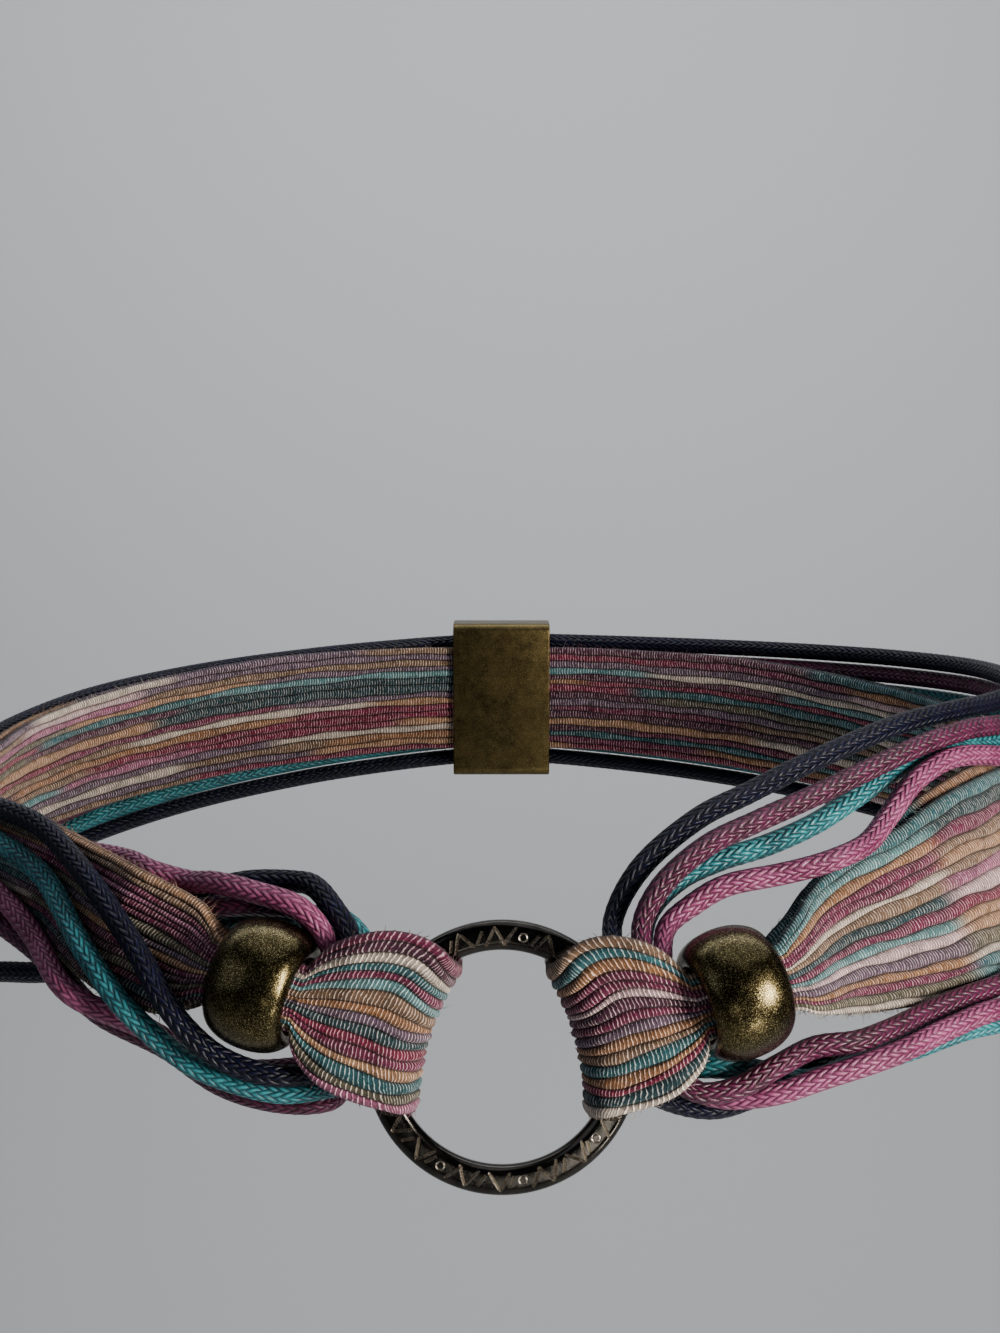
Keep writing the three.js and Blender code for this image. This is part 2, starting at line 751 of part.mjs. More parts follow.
// A round cord along its points; the section keeps from twisting.
function cordGeometry(points, sign) {
  const curve = new THREE.CatmullRomCurve3(points.map((p) => p.at), false, "centripetal");
  const spans = points.length - 1;
  const sections = [];
  let side = null;
  for (const t of cordSteps(curve, spans)) {
    const centre = curve.getPoint(t);
    const along = curve.getTangent(t);
    const i = Math.min(Math.floor(t * spans), spans - 1);
    const share = t * spans - i;
    const radius = (CORD.diameter / 2) * (points[i].size * (1 - share) + points[i + 1].size * share);
    side = side ?? new THREE.Vector3(0, 0, 1);
    side.addScaledVector(along, -side.dot(along)).normalize();
    const other = new THREE.Vector3().crossVectors(along, side);
    sections.push(
      Array.from({ length: CORD.sides }, (_, j) => {
        const angle = (2 * Math.PI * j) / CORD.sides;
        return centre
          .clone()
          .addScaledVector(side, radius * Math.cos(angle))
          .addScaledVector(other, radius * Math.sin(angle));
      }),
    );
  }
  return skin(sections.map((loop) => loop.map((p) => p.setX(sign * p.x))));
}

// A closed profile turned round the Y axis.
function turned(profile, segments) {
  return new THREE.LatheGeometry([...profile, profile[0].clone()], segments);
}

function ringGeometry() {
  const wire = (RING.outer - RING.bore) / 4;
  const middle = (RING.outer + RING.bore) / 4;
  const profile = Array.from({ length: 10 }, (_, i) => {
    const angle = (2 * Math.PI * (i + 0.5)) / 10;
    const shape = (v) => Math.sign(v) * Math.pow(Math.abs(v), 0.72);
    return new THREE.Vector2(
      middle + wire * shape(Math.cos(angle)),
      (RING.depth / 2) * shape(Math.sin(angle)),
    );
  });
  return turned(profile, 36).translate(0, RING_Y, WAIST.ringLevel);
}

function beadGeometry(side) {
  const half = BEAD.length / 2;
  const hole = BEAD.hole / 2;
  const wall = BEAD.diameter / 2 - hole;
  const outside = Array.from({ length: 8 }, (_, i) => {
    const share = -0.97 + (1.94 * i) / 7;
    return new THREE.Vector2(hole + wall * fullness(share, BEAD.barrel), share * half);
  });
  const profile = [
    new THREE.Vector2(hole + 0.6, -half),
    ...outside,
    new THREE.Vector2(hole + 0.6, half),
    new THREE.Vector2(hole, half - 0.8),
    new THREE.Vector2(hole, -half + 0.8),
  ];
  const { out } = waistFrame(side.bead.turn, side.bead.height, BEAD.lift);
  const axis = beadAxis(side);
  const across = new THREE.Vector3().crossVectors(axis, out);
  const centre = onWaist(side.bead.turn, side.bead.height, BEAD.lift);
  const mirror = new THREE.Matrix4().makeScale(side.sign, 1, 1);
  const geometry = turned(profile, 22);
  geometry.applyMatrix4(new THREE.Matrix4().makeBasis(across, axis, out).setPosition(centre));
  geometry.applyMatrix4(mirror);
  const points = [];
  const at = geometry.getAttribute("position");
  for (let i = 0; i < at.count; i++) points.push(new THREE.Vector3().fromBufferAttribute(at, i));
  return solid(points, Array.from(geometry.getIndex().array));
}

// The sleeve: a flat rounded tube, open at both ends, square to the waist at the back.
function sleeveGeometry() {
  const thick = (SLEEVE.outside - SLEEVE.inside) / 2 + SLEEVE.wall;
  const tall = SLEEVE.tall / 2;
  const round = (path, w, h, r) => {
    path.moveTo(-w + r, -h);
    path.lineTo(w - r, -h);
    path.quadraticCurveTo(w, -h, w, -h + r);
    path.lineTo(w, h - r);
    path.quadraticCurveTo(w, h, w - r, h);
    path.lineTo(-w + r, h);
    path.quadraticCurveTo(-w, h, -w, h - r);
    path.lineTo(-w, -h + r);
    path.quadraticCurveTo(-w, -h, -w + r, -h);
    return path;
  };
  const outline = round(new THREE.Shape(), thick, tall, SLEEVE.corner);
  outline.holes.push(
    round(new THREE.Path(), thick - SLEEVE.wall, tall - SLEEVE.wall, SLEEVE.corner - SLEEVE.wall),
  );
  const geometry = new THREE.ExtrudeGeometry(outline, {
    depth: SLEEVE.length,
    bevelEnabled: false,
    curveSegments: 3,
  });
  const { along, up, out } = waistFrame(SLEEVE.turn, SLEEVE.height, 0);
  const middle = onWaist(SLEEVE.turn, SLEEVE.height, (SLEEVE.inside + SLEEVE.outside) / 2);
  return geometry
    .translate(0, 0, -SLEEVE.length / 2)
    .applyMatrix4(new THREE.Matrix4().makeBasis(out, up, along.clone().negate()).setPosition(middle));
}

const belt = new THREE.Group();
belt.name = "woven_belt";

function add(name, geometry, colour, metalness, roughness) {
  const material = new THREE.MeshStandardMaterial({ color: colour, metalness, roughness });
  const mesh = new THREE.Mesh(geometry, material);
  mesh.name = name;
  belt.add(mesh);
}

add("ring", ringGeometry(), COLOURS.ring, 0.9, 0.4);
for (const [end, side, cords, slots] of [
  ["right", RIGHT, RIGHT_CORDS, RIGHT_SLOTS],
  ["left", LEFT, LEFT_CORDS, LEFT_SLOTS],
]) {
  add("bead_" + end, beadGeometry(side), COLOURS.brass, 0.9, 0.35);
  add("woven_band_" + end, bandGeometry(side), COLOURS.band, 0, 0.9);
  for (const [colour, route] of Object.entries(cords))
    add(
      "cord_" + colour + "_" + end,
      cordGeometry(cordPoints(route, slots, colour), side.sign),
      COLOURS[colour],
      0,
      0.6,
    );
}
add("back_sleeve", sleeveGeometry(), COLOURS.brass, 0.9, 0.4);

export default belt;
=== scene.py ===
"""Woven belt in its worn form, dressed for the render: ribbed cloth, braided cords, bronze ring and beads.

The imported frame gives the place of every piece. Tables and sizes are in millimetres and degrees, as the belt
is drawn, and every mesh is made in metres through MM.
"""

import logging
import math
from dataclasses import dataclass, field
from enum import Enum
from typing import Any

import bpy
import numpy as np
from mathutils import Matrix, Vector


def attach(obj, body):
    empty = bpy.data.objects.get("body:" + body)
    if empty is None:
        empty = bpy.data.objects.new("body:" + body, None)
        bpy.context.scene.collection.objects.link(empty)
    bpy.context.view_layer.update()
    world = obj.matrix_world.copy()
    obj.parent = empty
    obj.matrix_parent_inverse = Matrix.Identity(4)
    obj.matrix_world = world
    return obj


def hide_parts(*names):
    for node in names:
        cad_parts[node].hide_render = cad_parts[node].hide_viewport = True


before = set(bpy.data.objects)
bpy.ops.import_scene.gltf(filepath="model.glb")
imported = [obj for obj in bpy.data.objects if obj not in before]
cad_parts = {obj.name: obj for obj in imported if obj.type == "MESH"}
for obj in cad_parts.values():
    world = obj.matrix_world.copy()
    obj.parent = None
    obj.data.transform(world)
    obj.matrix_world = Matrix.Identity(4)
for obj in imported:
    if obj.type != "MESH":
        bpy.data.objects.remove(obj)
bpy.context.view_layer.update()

log = logging.getLogger("woven_belt")
logging.basicConfig(level=logging.INFO, format="%(name)s: %(message)s")

MM = 0.001
CLASP_TURN = 178.6
# Far past either end of a strip, in millimetres.
PAST_END = 1e3
# Points nearer than this are one, in metres.
MERGE = 0.00001


class Labelled(Enum):
    """A choice whose name is part of the nodes' names."""

    @property
    def label(self) -> str:
        """The name as the nodes spell it."""
        return self.name.lower()


class Hand(Labelled):
    """Which half of the belt a piece belongs to; the value mirrors it in X."""

    RIGHT = 1
    LEFT = -1


class CordColour(Labelled):
    """The four cord colours: a dark and a light shade of each, and the gloss. The shades are mixed by random
    tone and by painted light: painted shade at the strands' edges, painted highlight on their crowns.
    """

    NAVY = ("#040510", "#151835", 0.22)
    MAGENTA = ("#2c061a", "#722652", 0.5)
    TEAL = ("#073c46", "#3fa5ad", 0.5)
    PINK = ("#5e1c40", "#ba6692", 0.5)


class Yarn(Enum):
    """The yarns of the woven strip."""

    MAGENTA = "#7d1b4b"
    CRIMSON = "#8d1846"
    PLUM = "#5b2443"
    MAUVE = "#735a70"
    PINK = "#b3668a"
    PALE_PINK = "#e6c3c6"
    CREAM = "#e6d5c4"
    TAN = "#937358"
    ORANGE = "#ad784e"
    PEACH = "#c4946c"
    OLIVE = "#6d6650"
    TEAL = "#2f6f77"
    LIGHT_TEAL = "#6a9fa3"
    DEEP_TEAL = "#1c464e"


def linear(colour: str) -> tuple[float, float, float]:
    """A colour given as #rrggbb in the render's own linear red, green and blue."""
    parts = [int(colour[i : i + 2], 16) / 255 for i in (1, 3, 5)]
    return tuple(p / 12.92 if p <= 0.04045 else ((p + 0.055) / 1.055) ** 2.4 for p in parts)


def rgba(colour: str) -> tuple[float, float, float, float]:
    """A colour given as #rrggbb in linear red, green, blue and 1 for alpha, as a socket takes it."""
    return (*linear(colour), 1.0)


class Table:
    """Rows of numbers under named columns, read smoothly at any place between the rows."""

    def __init__(self, columns: tuple[str, ...], rows: tuple[tuple[float, ...], ...]) -> None:
        """Keeps the rows.

        Args:
            columns: The columns' names.
            rows: One tuple of numbers for each row.
        """
        self.columns = columns
        self.values = np.array(rows, float)
        self.last = len(rows) - 1

    def knots(self, column: str) -> np.ndarray:
        """The column's own numbers, one for each row."""
        return self.values[:, self.columns.index(column)]

    def at(self, column: str, place: np.ndarray) -> np.ndarray:
        """The column's value at places counted in rows, without overshoot.

        Args:
            column: The column's name.
            place: Places from 0 to the last row.

        Returns:
            One value for each place.
        """
        knots = self.knots(column)
        step = np.diff(knots)
        slope = np.empty_like(knots)
        slope[0], slope[-1] = step[0] / 2, step[-1] / 2
        before, after = step[:-1], step[1:]
        together = np.where(before + after == 0, 1, before + after)
        slope[1:-1] = np.where(before * after <= 0, 0, 2 * before * after / together)
        i = np.minimum(np.floor(place).astype(int), self.last - 1)
        t = place - i
        t2, t3 = t * t, t * t * t
        return (
            (2 * t3 - 3 * t2 + 1) * knots[i]
            + (t3 - 2 * t2 + t) * slope[i]
            + (3 * t2 - 2 * t3) * knots[i + 1]
            + (t3 - t2) * slope[i + 1]
        )


LAYER_COLUMNS = ("turn", "height", "lift", "width", "thick", "tilt", "edge")
# The two layers of each strip from the bead to the back: turn from the front, height over the ring's middle,
# lift of the mid surface off the waist, width, thickness, tilt and how square the edges are. The last rows,
# behind the waist, are the same on both sides.
OUTER_BACK = (
    (150, 76, 5.2, 38, 2.6, 5, 6),
    (170, 79.7, 7.2, 36, 2.6, 1, 6),
    (CLASP_TURN, 80, 7, 36, 2.6, 0, 6),
)
INNER_BACK = (
    (150, 76, 2.1, 38, 2.6, 5, 6),
    (170, 79.7, 4.1, 36, 2.6, 1, 6),
    (CLASP_TURN, 80, 3.9, 36, 2.6, 0, 6),
)
RIGHT_OUTER = Table(
    LAYER_COLUMNS,
    (
        (14.5, 12.8, 19.3, 15.4, 5.4, 16, 2.2),
        (21.5, 18.6, 19.3, 15.4, 5.4, 16, 2.2),
        (23.2, 19.5, 18.5, 20, 4.4, 17, 3),
        (25.4, 21, 16, 25, 3.4, 18, 4),
        (28, 22.7, 11.6, 30, 2.9, 17, 5),
        (31, 24.4, 8.4, 34.5, 2.6, 15, 6),
        (36, 26.6, 6, 40, 2.6, 14, 6),
        (42, 29.2, 5.2, 44.5, 2.6, 13, 6),
        (49, 32.8, 5.1, 50, 2.6, 13, 6),
        (60, 36, 5, 54, 2.6, 11, 6),
        (70, 38.5, 5, 53, 2.6, 12, 6),
        (80, 43, 5, 50, 2.6, 13, 6),
        (95, 51, 5, 46, 2.6, 13, 6),
        (120, 64, 5, 41, 2.6, 11, 6),
        *OUTER_BACK,
    ),
)
RIGHT_INNER = Table(
    LAYER_COLUMNS,
    (
        (14.5, 12, 12.7, 15.4, 5.4, 16, 2.2),
        (21.5, 17.8, 12.7, 15.4, 5.4, 16, 2.2),
        (23.2, 18.8, 11.9, 19, 4.4, 17, 3),
        (25.4, 20, 10.4, 24, 3.2, 17, 4),
        (28, 21.6, 7.6, 30, 2.8, 16, 5),
        (31, 23.4, 4.9, 35, 2.6, 14, 6),
        (36, 26.2, 2.8, 41, 2.6, 14, 6),
        (42, 29, 2.1, 46, 2.6, 13, 6),
        (49, 34, 2, 50, 2.6, 13, 6),
        (60, 38, 1.9, 54, 2.6, 11, 6),
        (70, 40.5, 1.9, 53, 2.6, 12, 6),
        (80, 45, 1.9, 50, 2.6, 13, 6),
        (95, 52, 1.9, 46, 2.6, 13, 6),
        (120, 64, 1.9, 41, 2.6, 11, 6),
        *INNER_BACK,
    ),
)
LEFT_OUTER = Table(
    LAYER_COLUMNS,
    (
        (15.1, 14.75, 19.3, 15.4, 5.4, 15, 2.2),
        (22.1, 20.25, 19.3, 15.4, 5.4, 15, 2.2),
        (24, 21.1, 19, 23, 4.2, 18, 3),
        (26, 22.6, 18, 28, 3.4, 22, 4),
        (28.5, 25, 17.4, 29, 2.9, 24, 5),
        (32, 28.4, 17.6, 29.5, 2.6, 24, 6),
        (37, 32.5, 14.2, 28, 2.6, 24, 6),
        (43, 37.5, 11.5, 25, 2.6, 20, 6),
        (51, 41.5, 11.3, 25, 2.6, 12, 6),
        (60, 43.5, 11.3, 27, 2.6, 8, 6),
        (70, 45, 11.2, 30, 2.6, 8, 6),
        (80, 47, 10.7, 33, 2.6, 10, 6),
        (92, 52, 5.2, 37, 2.6, 13, 6),
        (105, 57.5, 5, 38, 2.6, 13, 6),
        (125, 66.5, 5, 38, 2.6, 11, 6),
        *OUTER_BACK,
    ),
)
LEFT_INNER = Table(
    LAYER_COLUMNS,
    (
        (15.1, 13.95, 12.7, 15.4, 5.4, 15, 2.2),
        (22.1, 19.45, 12.7, 15.4, 5.4, 15, 2.2),
        (24, 19.8, 12.9, 20, 4, 16, 3),
        (26, 20.6, 13.4, 25, 3.2, 20, 4),
        (28.5, 22.8, 14, 28, 2.8, 22, 5),
        (32, 26.4, 14.4, 29.5, 2.6, 22, 6),
        (37, 30.5, 11, 28, 2.6, 22, 6),
        (43, 36, 8.2, 25.5, 2.6, 20, 6),
        (51, 40.5, 8.1, 26, 2.6, 12, 6),
        (60, 42.5, 8.1, 27, 2.6, 8, 6),
        (70, 44.5, 8, 30, 2.6, 8, 6),
        (80, 47, 7.5, 33, 2.6, 10, 6),
        (92, 52, 2.1, 37, 2.6, 13, 6),
        (105, 57.5, 1.9, 38, 2.6, 13, 6),
        (125, 66.5, 1.9, 38, 2.6, 11, 6),
        *INNER_BACK,
    ),
)


@dataclass(frozen=True)
class CordRoute:
    """One cord's chosen points: legs in turn, height and lift, the pass through the cloth's loop in across,
    height and ahead of the ring's mid plane. Legs run outwards from the loop and the pass runs downwards."""

    upper: tuple[tuple[float, float, float], ...]
    loop: tuple[tuple[float, float, float], ...]
    lower: tuple[tuple[float, float, float], ...]


RIGHT_ROUTES = {
    CordColour.NAVY: CordRoute(
        upper=(
            (9.5, 30.5, 4.2), (12.2, 42.5, 3.2), (18.2, 54.5, 3.2), (23.5, 60.2, 3.2),
            (29.3, 66, 3.2), (35.9, 71.3, 3.2), (43.6, 76, 3.2), (55.9, 79.5, 3.2), (65, 81, 4.6),
            (76, 84.6, 10.6),
        ),
        loop=(
            (27.4, 20, 4.8), (29.2, 11, 5.4), (30, 2, 5.5), (32.4, -5.5, 4.4),
        ),
        lower=(
            (13.6, -11.3, 4.1), (17.3, -13.3, 3.1), (21, -11, 3.1), (24.5, -7, 3.1),
            (28.7, -2.2, 3.1), (35, -0.5, 3.1), (42, 1.6, 3.1), (49.5, 1.6, 3.1), (60, 3.4, 3.2),
            (68, 5.2, 5.5), (76, 9.6, 10.6),
        ),
    ),
    CordColour.MAGENTA: CordRoute(
        upper=(
            (11.5, 30.5, 9.7), (13.4, 39, 9), (17.8, 48.2, 8.5), (22.9, 53.8, 8.5), (28.6, 59, 8.5),
            (34.9, 64.5, 8.5), (42.3, 70, 8.5), (51.9, 74.3, 8.5), (65, 75.8, 9.4),
            (76, 78.5, 10.6),
        ),
        loop=(
            (33, 21, 3.8), (34.2, 12, 3.9), (34.7, 3, 4.6), (38.2, -2.8, 5.2),
        ),
        lower=(
            (14.6, -7, 14.2), (17.5, -6.4, 15.2), (21, -2, 15.2), (24.6, 1.6, 14.4),
            (28, 2.6, 16.4), (31.5, 4, 14.6), (37.5, 6.6, 10.9), (42.9, 8.9, 10), (49.3, 11, 9.9),
            (60, 18, 10.2), (76, 28, 10.6),
        ),
    ),
    CordColour.TEAL: CordRoute(
        upper=(
            (12.8, 32.1, 3.4), (15.6, 39.6, 3.2), (19.6, 44.1, 3.2), (24.7, 47.5, 3.2),
            (30.4, 52.4, 3.2), (35.6, 58.2, 3.2), (41.8, 64.7, 3.2), (49.3, 69.4, 3.2),
            (62, 70.2, 3.8), (76, 72.2, 10.6),
        ),
        loop=(
            (33, 21.6, -1.6), (34.6, 12, -1.9), (35.4, 3, -1.9), (38.2, -2.2, -2.2),
        ),
        lower=(
            (14.8, -3.6, 4), (17.3, -3.4, 5.6), (21, -4.6, 7), (23, -6.3, 8.8), (25, -7, 9.3),
            (28.7, -4.8, 9.8), (35, -2.3, 9.2), (42, 0.7, 9.1), (49.5, 1.6, 9.2), (60, 5.8, 9.7),
            (76, 15.8, 10.6),
        ),
    ),
    CordColour.PINK: CordRoute(
        upper=(
            (13.7, 29.6, 8.8), (16.3, 35, 8.6), (19.1, 38.8, 8.8), (24.1, 41.4, 10.8),
            (26.6, 43, 12.8), (29.4, 45, 13.6), (33.7, 48, 10.8), (37.5, 54, 8.8), (41.8, 62, 8.7),
            (48.2, 67.4, 9), (63.3, 66.6, 9.9), (76, 66, 10.6),
        ),
        loop=(
            (37.3, 22, 2.6), (38, 13, 3), (38.5, 4, 2.3), (42, -4.2, 1),
        ),
        lower=(
            (15.6, -8.5, 7.4), (17.5, -9.8, 8.8), (21, -8.6, 13), (24.5, -5.3, 16),
            (30.4, -0.6, 19.2), (37.3, 3.2, 16.2), (42.7, 5.7, 15.4), (49.2, 6.6, 14.9),
            (60, 11.6, 11.2), (76, 21.9, 10.6),
        ),
    ),
}
LEFT_ROUTES = {
    CordColour.NAVY: CordRoute(
        upper=(
            (12.2, 28.6, 13.3), (14.2, 35, 10.4), (16.4, 38.9, 6.6), (18.9, 39.4, 3.4),
            (23.8, 38.8, 3.2), (27.9, 35.2, 3.2), (31, 29.2, 3.2), (33, 24.2, 3.2), (35, 20.8, 3.2),
            (40, 17, 3.2), (45.3, 13.6, 3.2), (52.9, 11.7, 3.2), (66, 8, 3.2), (79, 6.4, 3.8),
            (92, 9, 10.6),
        ),
        loop=(
            (34.9, 20.6, 5.4), (36, 12, 3.9), (36.8, 4, 3.9), (38.8, -1.4, 5.8),
        ),
        lower=(
            (14.9, -3.4, 12.6), (17.7, -3.2, 15.6), (21.1, 0.7, 18.8), (23.2, 6.6, 22.4),
            (25.2, 13.8, 24.6), (27.6, 22.5, 24.2), (30.5, 30.2, 22.9), (33.4, 36.5, 21.3),
            (37, 42.5, 19), (44, 51, 16), (52.9, 55.2, 15.9), (66, 58, 16.6), (79, 61, 17),
            (92, 67, 10.8),
        ),
    ),
    CordColour.TEAL: CordRoute(
        upper=(
            (11.6, 26.8, 7.4), (14.5, 31.2, 3.3), (17.7, 31.2, 3.2), (21.6, 31.6, 3.2),
            (24.4, 29.8, 3.4), (27.5, 26.5, 7), (30, 27.4, 9), (33, 30.2, 9), (35, 31, 8),
            (38, 31.4, 5), (43, 32, 3.2), (50, 33.4, 3.2), (57, 30.6, 3.2), (68, 21.4, 3.2),
            (79, 13, 3.8), (92, 15.2, 10.6),
        ),
        loop=(
            (30.8, 20.5, 1), (30.4, 14, 4.3), (30.4, 7, 5.4), (31.8, 0, 5.4), (35.4, -4.6, 5.4),
        ),
        lower=(
            (14, -7.4, 8.4), (16.9, -8.2, 10.2), (20, -6.4, 12.8), (24.1, -1.6, 16),
            (28.9, 10.8, 22.4), (32, 19.2, 23), (35.1, 26.8, 21.9), (42.5, 39.1, 16.1),
            (51.5, 46.9, 15.9), (66, 50.5, 16.6), (79, 54, 17), (92, 60, 10.8),
        ),
    ),
    CordColour.MAGENTA: CordRoute(
        upper=(
            (13.5, 26.1, 9.4), (15.6, 29.4, 8.4), (17.2, 33.6, 9.2), (20.6, 34.4, 9.2),
            (24, 33.8, 9.3), (27.5, 32.6, 9.2), (32, 35.4, 9), (35, 36.8, 6.8), (38, 37.2, 4.6),
            (43, 38, 3.2), (50, 40, 3.2), (57, 37.8, 3.2), (68, 28.4, 3.2), (79, 19.8, 3.8),
            (92, 21.6, 10.6),
        ),
        loop=(
            (35.1, 20.5, -0.2), (35.2, 11, -1.9), (35.4, 2.6, -1.7), (36.2, -4.8, -1.2),
        ),
        lower=(
            (13.6, -10.6, 3.2), (15.6, -11.6, 4.8), (19.4, -11.2, 4.8), (23.8, -8.6, 3.6),
            (28.7, -0.8, 6), (34.4, 7.2, 12.2), (40.6, 17.2, 12.4), (45, 22.6, 12.9),
            (50.1, 28.2, 15.7), (66, 33.5, 16.6), (79, 38.2, 17), (92, 45.2, 10.8),
        ),
    ),
    CordColour.PINK: CordRoute(
        upper=(
            (14.3, 29.4, 14.5), (16.2, 34.8, 15.6), (20.4, 38, 14.6), (24.6, 39.6, 12.4),
            (27.5, 39.2, 9.6), (32, 41.2, 9), (35, 42.8, 6.8), (38, 43.4, 4.4), (43, 44.2, 3.2),
            (50, 46.4, 3.2), (57, 45, 3.2), (68, 35.4, 3.2), (79, 26.6, 3.8), (92, 28, 10.6),
        ),
        loop=(
            (38.8, 20, 2.2), (40, 11, 1.6), (41.2, 4, 1), (42.8, -1.4, -1.6),
        ),
        lower=(
            (15.6, -3, 4.8), (16.8, -3.8, 4.6), (20.4, -4.4, 7), (23.9, -2.4, 10.4), (29, 4.2, 12),
            (34.8, 13.2, 21.6), (41.8, 24.4, 16.8), (46, 30.8, 16.2), (51, 35.8, 16.1),
            (66, 39.8, 16.6), (79, 44.4, 17), (92, 51.4, 10.8),
        ),
    ),
}


@dataclass(frozen=True)
class Waist:
    """The waist that the belt is worn on, an ellipse that narrows with height."""

    half_width: float = 162.0
    half_depth: float = 116.0
    side_taper: float = 0.25
    depth_taper: float = 0.125
    ring_level: float = -80.0

    def point(self, turn: Any, height: Any, lift: Any) -> np.ndarray:
        """Points by turn from the front (degrees), height over the ring's middle and lift off the waist.

        Args:
            turn: Degrees from the front.
            height: Height over the ring's middle.
            lift: Distance off the waist.

        Returns:
            An array of points, with X, Y, Z as its last axis.
        """
        turn, height, lift = np.broadcast_arrays(turn, height, lift)
        across = self.half_width - self.side_taper * height + lift
        deep = self.half_depth - self.depth_taper * height + lift
        angle = np.radians(turn)
        return np.stack(
            [across * np.sin(angle), -deep * np.cos(angle), height + self.ring_level], axis=-1
        )

    def frame(self, turn: Any, height: Any, lift: Any) -> tuple[np.ndarray, ...]:
        """The waist's own directions at a place.

        Args:
            turn: Degrees from the front.
            height: Height over the ring's middle.
            lift: Distance off the waist.

        Returns:
            Unit vectors along, up and out, and the length of one degree of turn.
        """
        along = self.point(turn + 0.5, height, lift) - self.point(turn - 0.5, height, lift)
        up = self.point(turn, height + 0.5, lift) - self.point(turn, height - 0.5, lift)
        per_degree = np.linalg.norm(along, axis=-1)
        along = unit(along)
        out = unit(np.cross(along, up))
        return along, np.cross(out, along), out, per_degree


def unit(vectors: np.ndarray) -> np.ndarray:
    """The same directions, along the last axis, with length 1."""
    return vectors / np.linalg.norm(vectors, axis=-1, keepdims=True)


def fullness(share: np.ndarray, power: np.ndarray) -> np.ndarray:
    """How full a section is at a share of its half width, 1 to 0 at the edges; power makes it square."""
    return np.maximum(0, 1 - np.abs(share) ** power) ** (1 / power)


def distances(points: np.ndarray) -> np.ndarray:
    """The length along a row of points, from 0 at the first."""
    return np.concatenate([[0], np.cumsum(np.linalg.norm(np.diff(points, axis=0), axis=1))])


def linked(name: str, data: Any) -> bpy.types.Object:
    """Puts a new object round its data into the scene.

    Args:
        name: The object's name.
        data: Its mesh, camera or light.

    Returns:
        The new object, at the origin.
    """
    made = bpy.data.objects.new(name, data)
    bpy.context.scene.collection.objects.link(made)
    return made


def declare(piece: bpy.types.Object, body: str, node: str, slot: str) -> None:
    """Hangs a piece on the body that it rides on and hides the part that it replaces.

    Args:
        piece: The piece.
        body: The body that it rides on.
        node: The node that it replaces.
        slot: Not used.
    """
    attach(piece, body)
    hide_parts(node)


WAIST = Waist()


def tube_object(
    name: str,
    rings: np.ndarray,
    across: np.ndarray,
    along: np.ndarray,
    attributes: dict[str, np.ndarray],
) -> bpy.types.Object:
    """A closed mesh through a row of closed rings, with a fan over each end.

    Args:
        name: The piece's name.
        rings: Ring by point by XYZ, in millimetres.
        across: The UV's U for each point of a ring, and one more for the seam.
        along: The UV's V for each ring.
        attributes: Values for each ring and point: a colour has four numbers, any other one.

    Returns:
        The new object, at the origin.
    """
    count, around = rings.shape[:2]
    points = np.concatenate([rings.reshape(-1, 3), rings[[0, -1]].mean(axis=1)]) * MM
    k, i = np.meshgrid(np.arange(count - 1), np.arange(around), indexing="ij")
    k, i = k.ravel(), i.ravel()
    j = (i + 1) % around
    quads = np.stack([k * around + i, k * around + j, (k + 1) * around + j, (k + 1) * around + i], axis=1)
    corners = ((0, 0), (1, 0), (1, 1), (0, 1))
    quad_uv = np.stack([np.stack([across[i + u], along[k + v]], 1) for u, v in corners], axis=1)
    i = np.arange(around)
    j = (i + 1) % around
    first, last = count * around, count * around + 1
    end = (count - 1) * around
    caps = np.concatenate(
        [
            np.stack([np.full(around, first), j, i], axis=1),
            np.stack([np.full(around, last), end + i, end + j], axis=1),
        ]
    )
    cap_v = np.repeat([along[0], along[-1]], around)
    cap_uv = np.stack([np.stack([across[np.r_[i, i]], cap_v], 1)] * 3, axis=1)
    volume = np.einsum(
        "ij,ij->i", points[quads[:, 0]], np.cross(points[quads[:, 1]], points[quads[:, 2]])
    ).sum()
    if volume < 0:
        quads, quad_uv = quads[:, ::-1], quad_uv[:, ::-1]
        caps, cap_uv = caps[:, ::-1], cap_uv[:, ::-1]
    mesh = bpy.data.meshes.new(name)
    mesh.from_pydata(points.tolist(), [], quads.tolist() + caps.tolist())
    uv = mesh.uv_layers.new(name="Strip")
    uv.data.foreach_set("uv", np.concatenate([quad_uv.reshape(-1, 2), cap_uv.reshape(-1, 2)]).ravel())
    for label, values in attributes.items():
        flat = values.reshape(count * around, -1)
        flat = np.concatenate([flat, flat[[0, -1]]])
        kind, key = ("FLOAT_COLOR", "color") if flat.shape[1] == 4 else ("FLOAT", "value")
        mesh.attributes.new(label, kind, "POINT").data.foreach_set(key, flat.ravel())
    mesh.polygons.foreach_set("use_smooth", [True] * len(mesh.polygons))
    mesh.update()
    return linked(name, mesh)


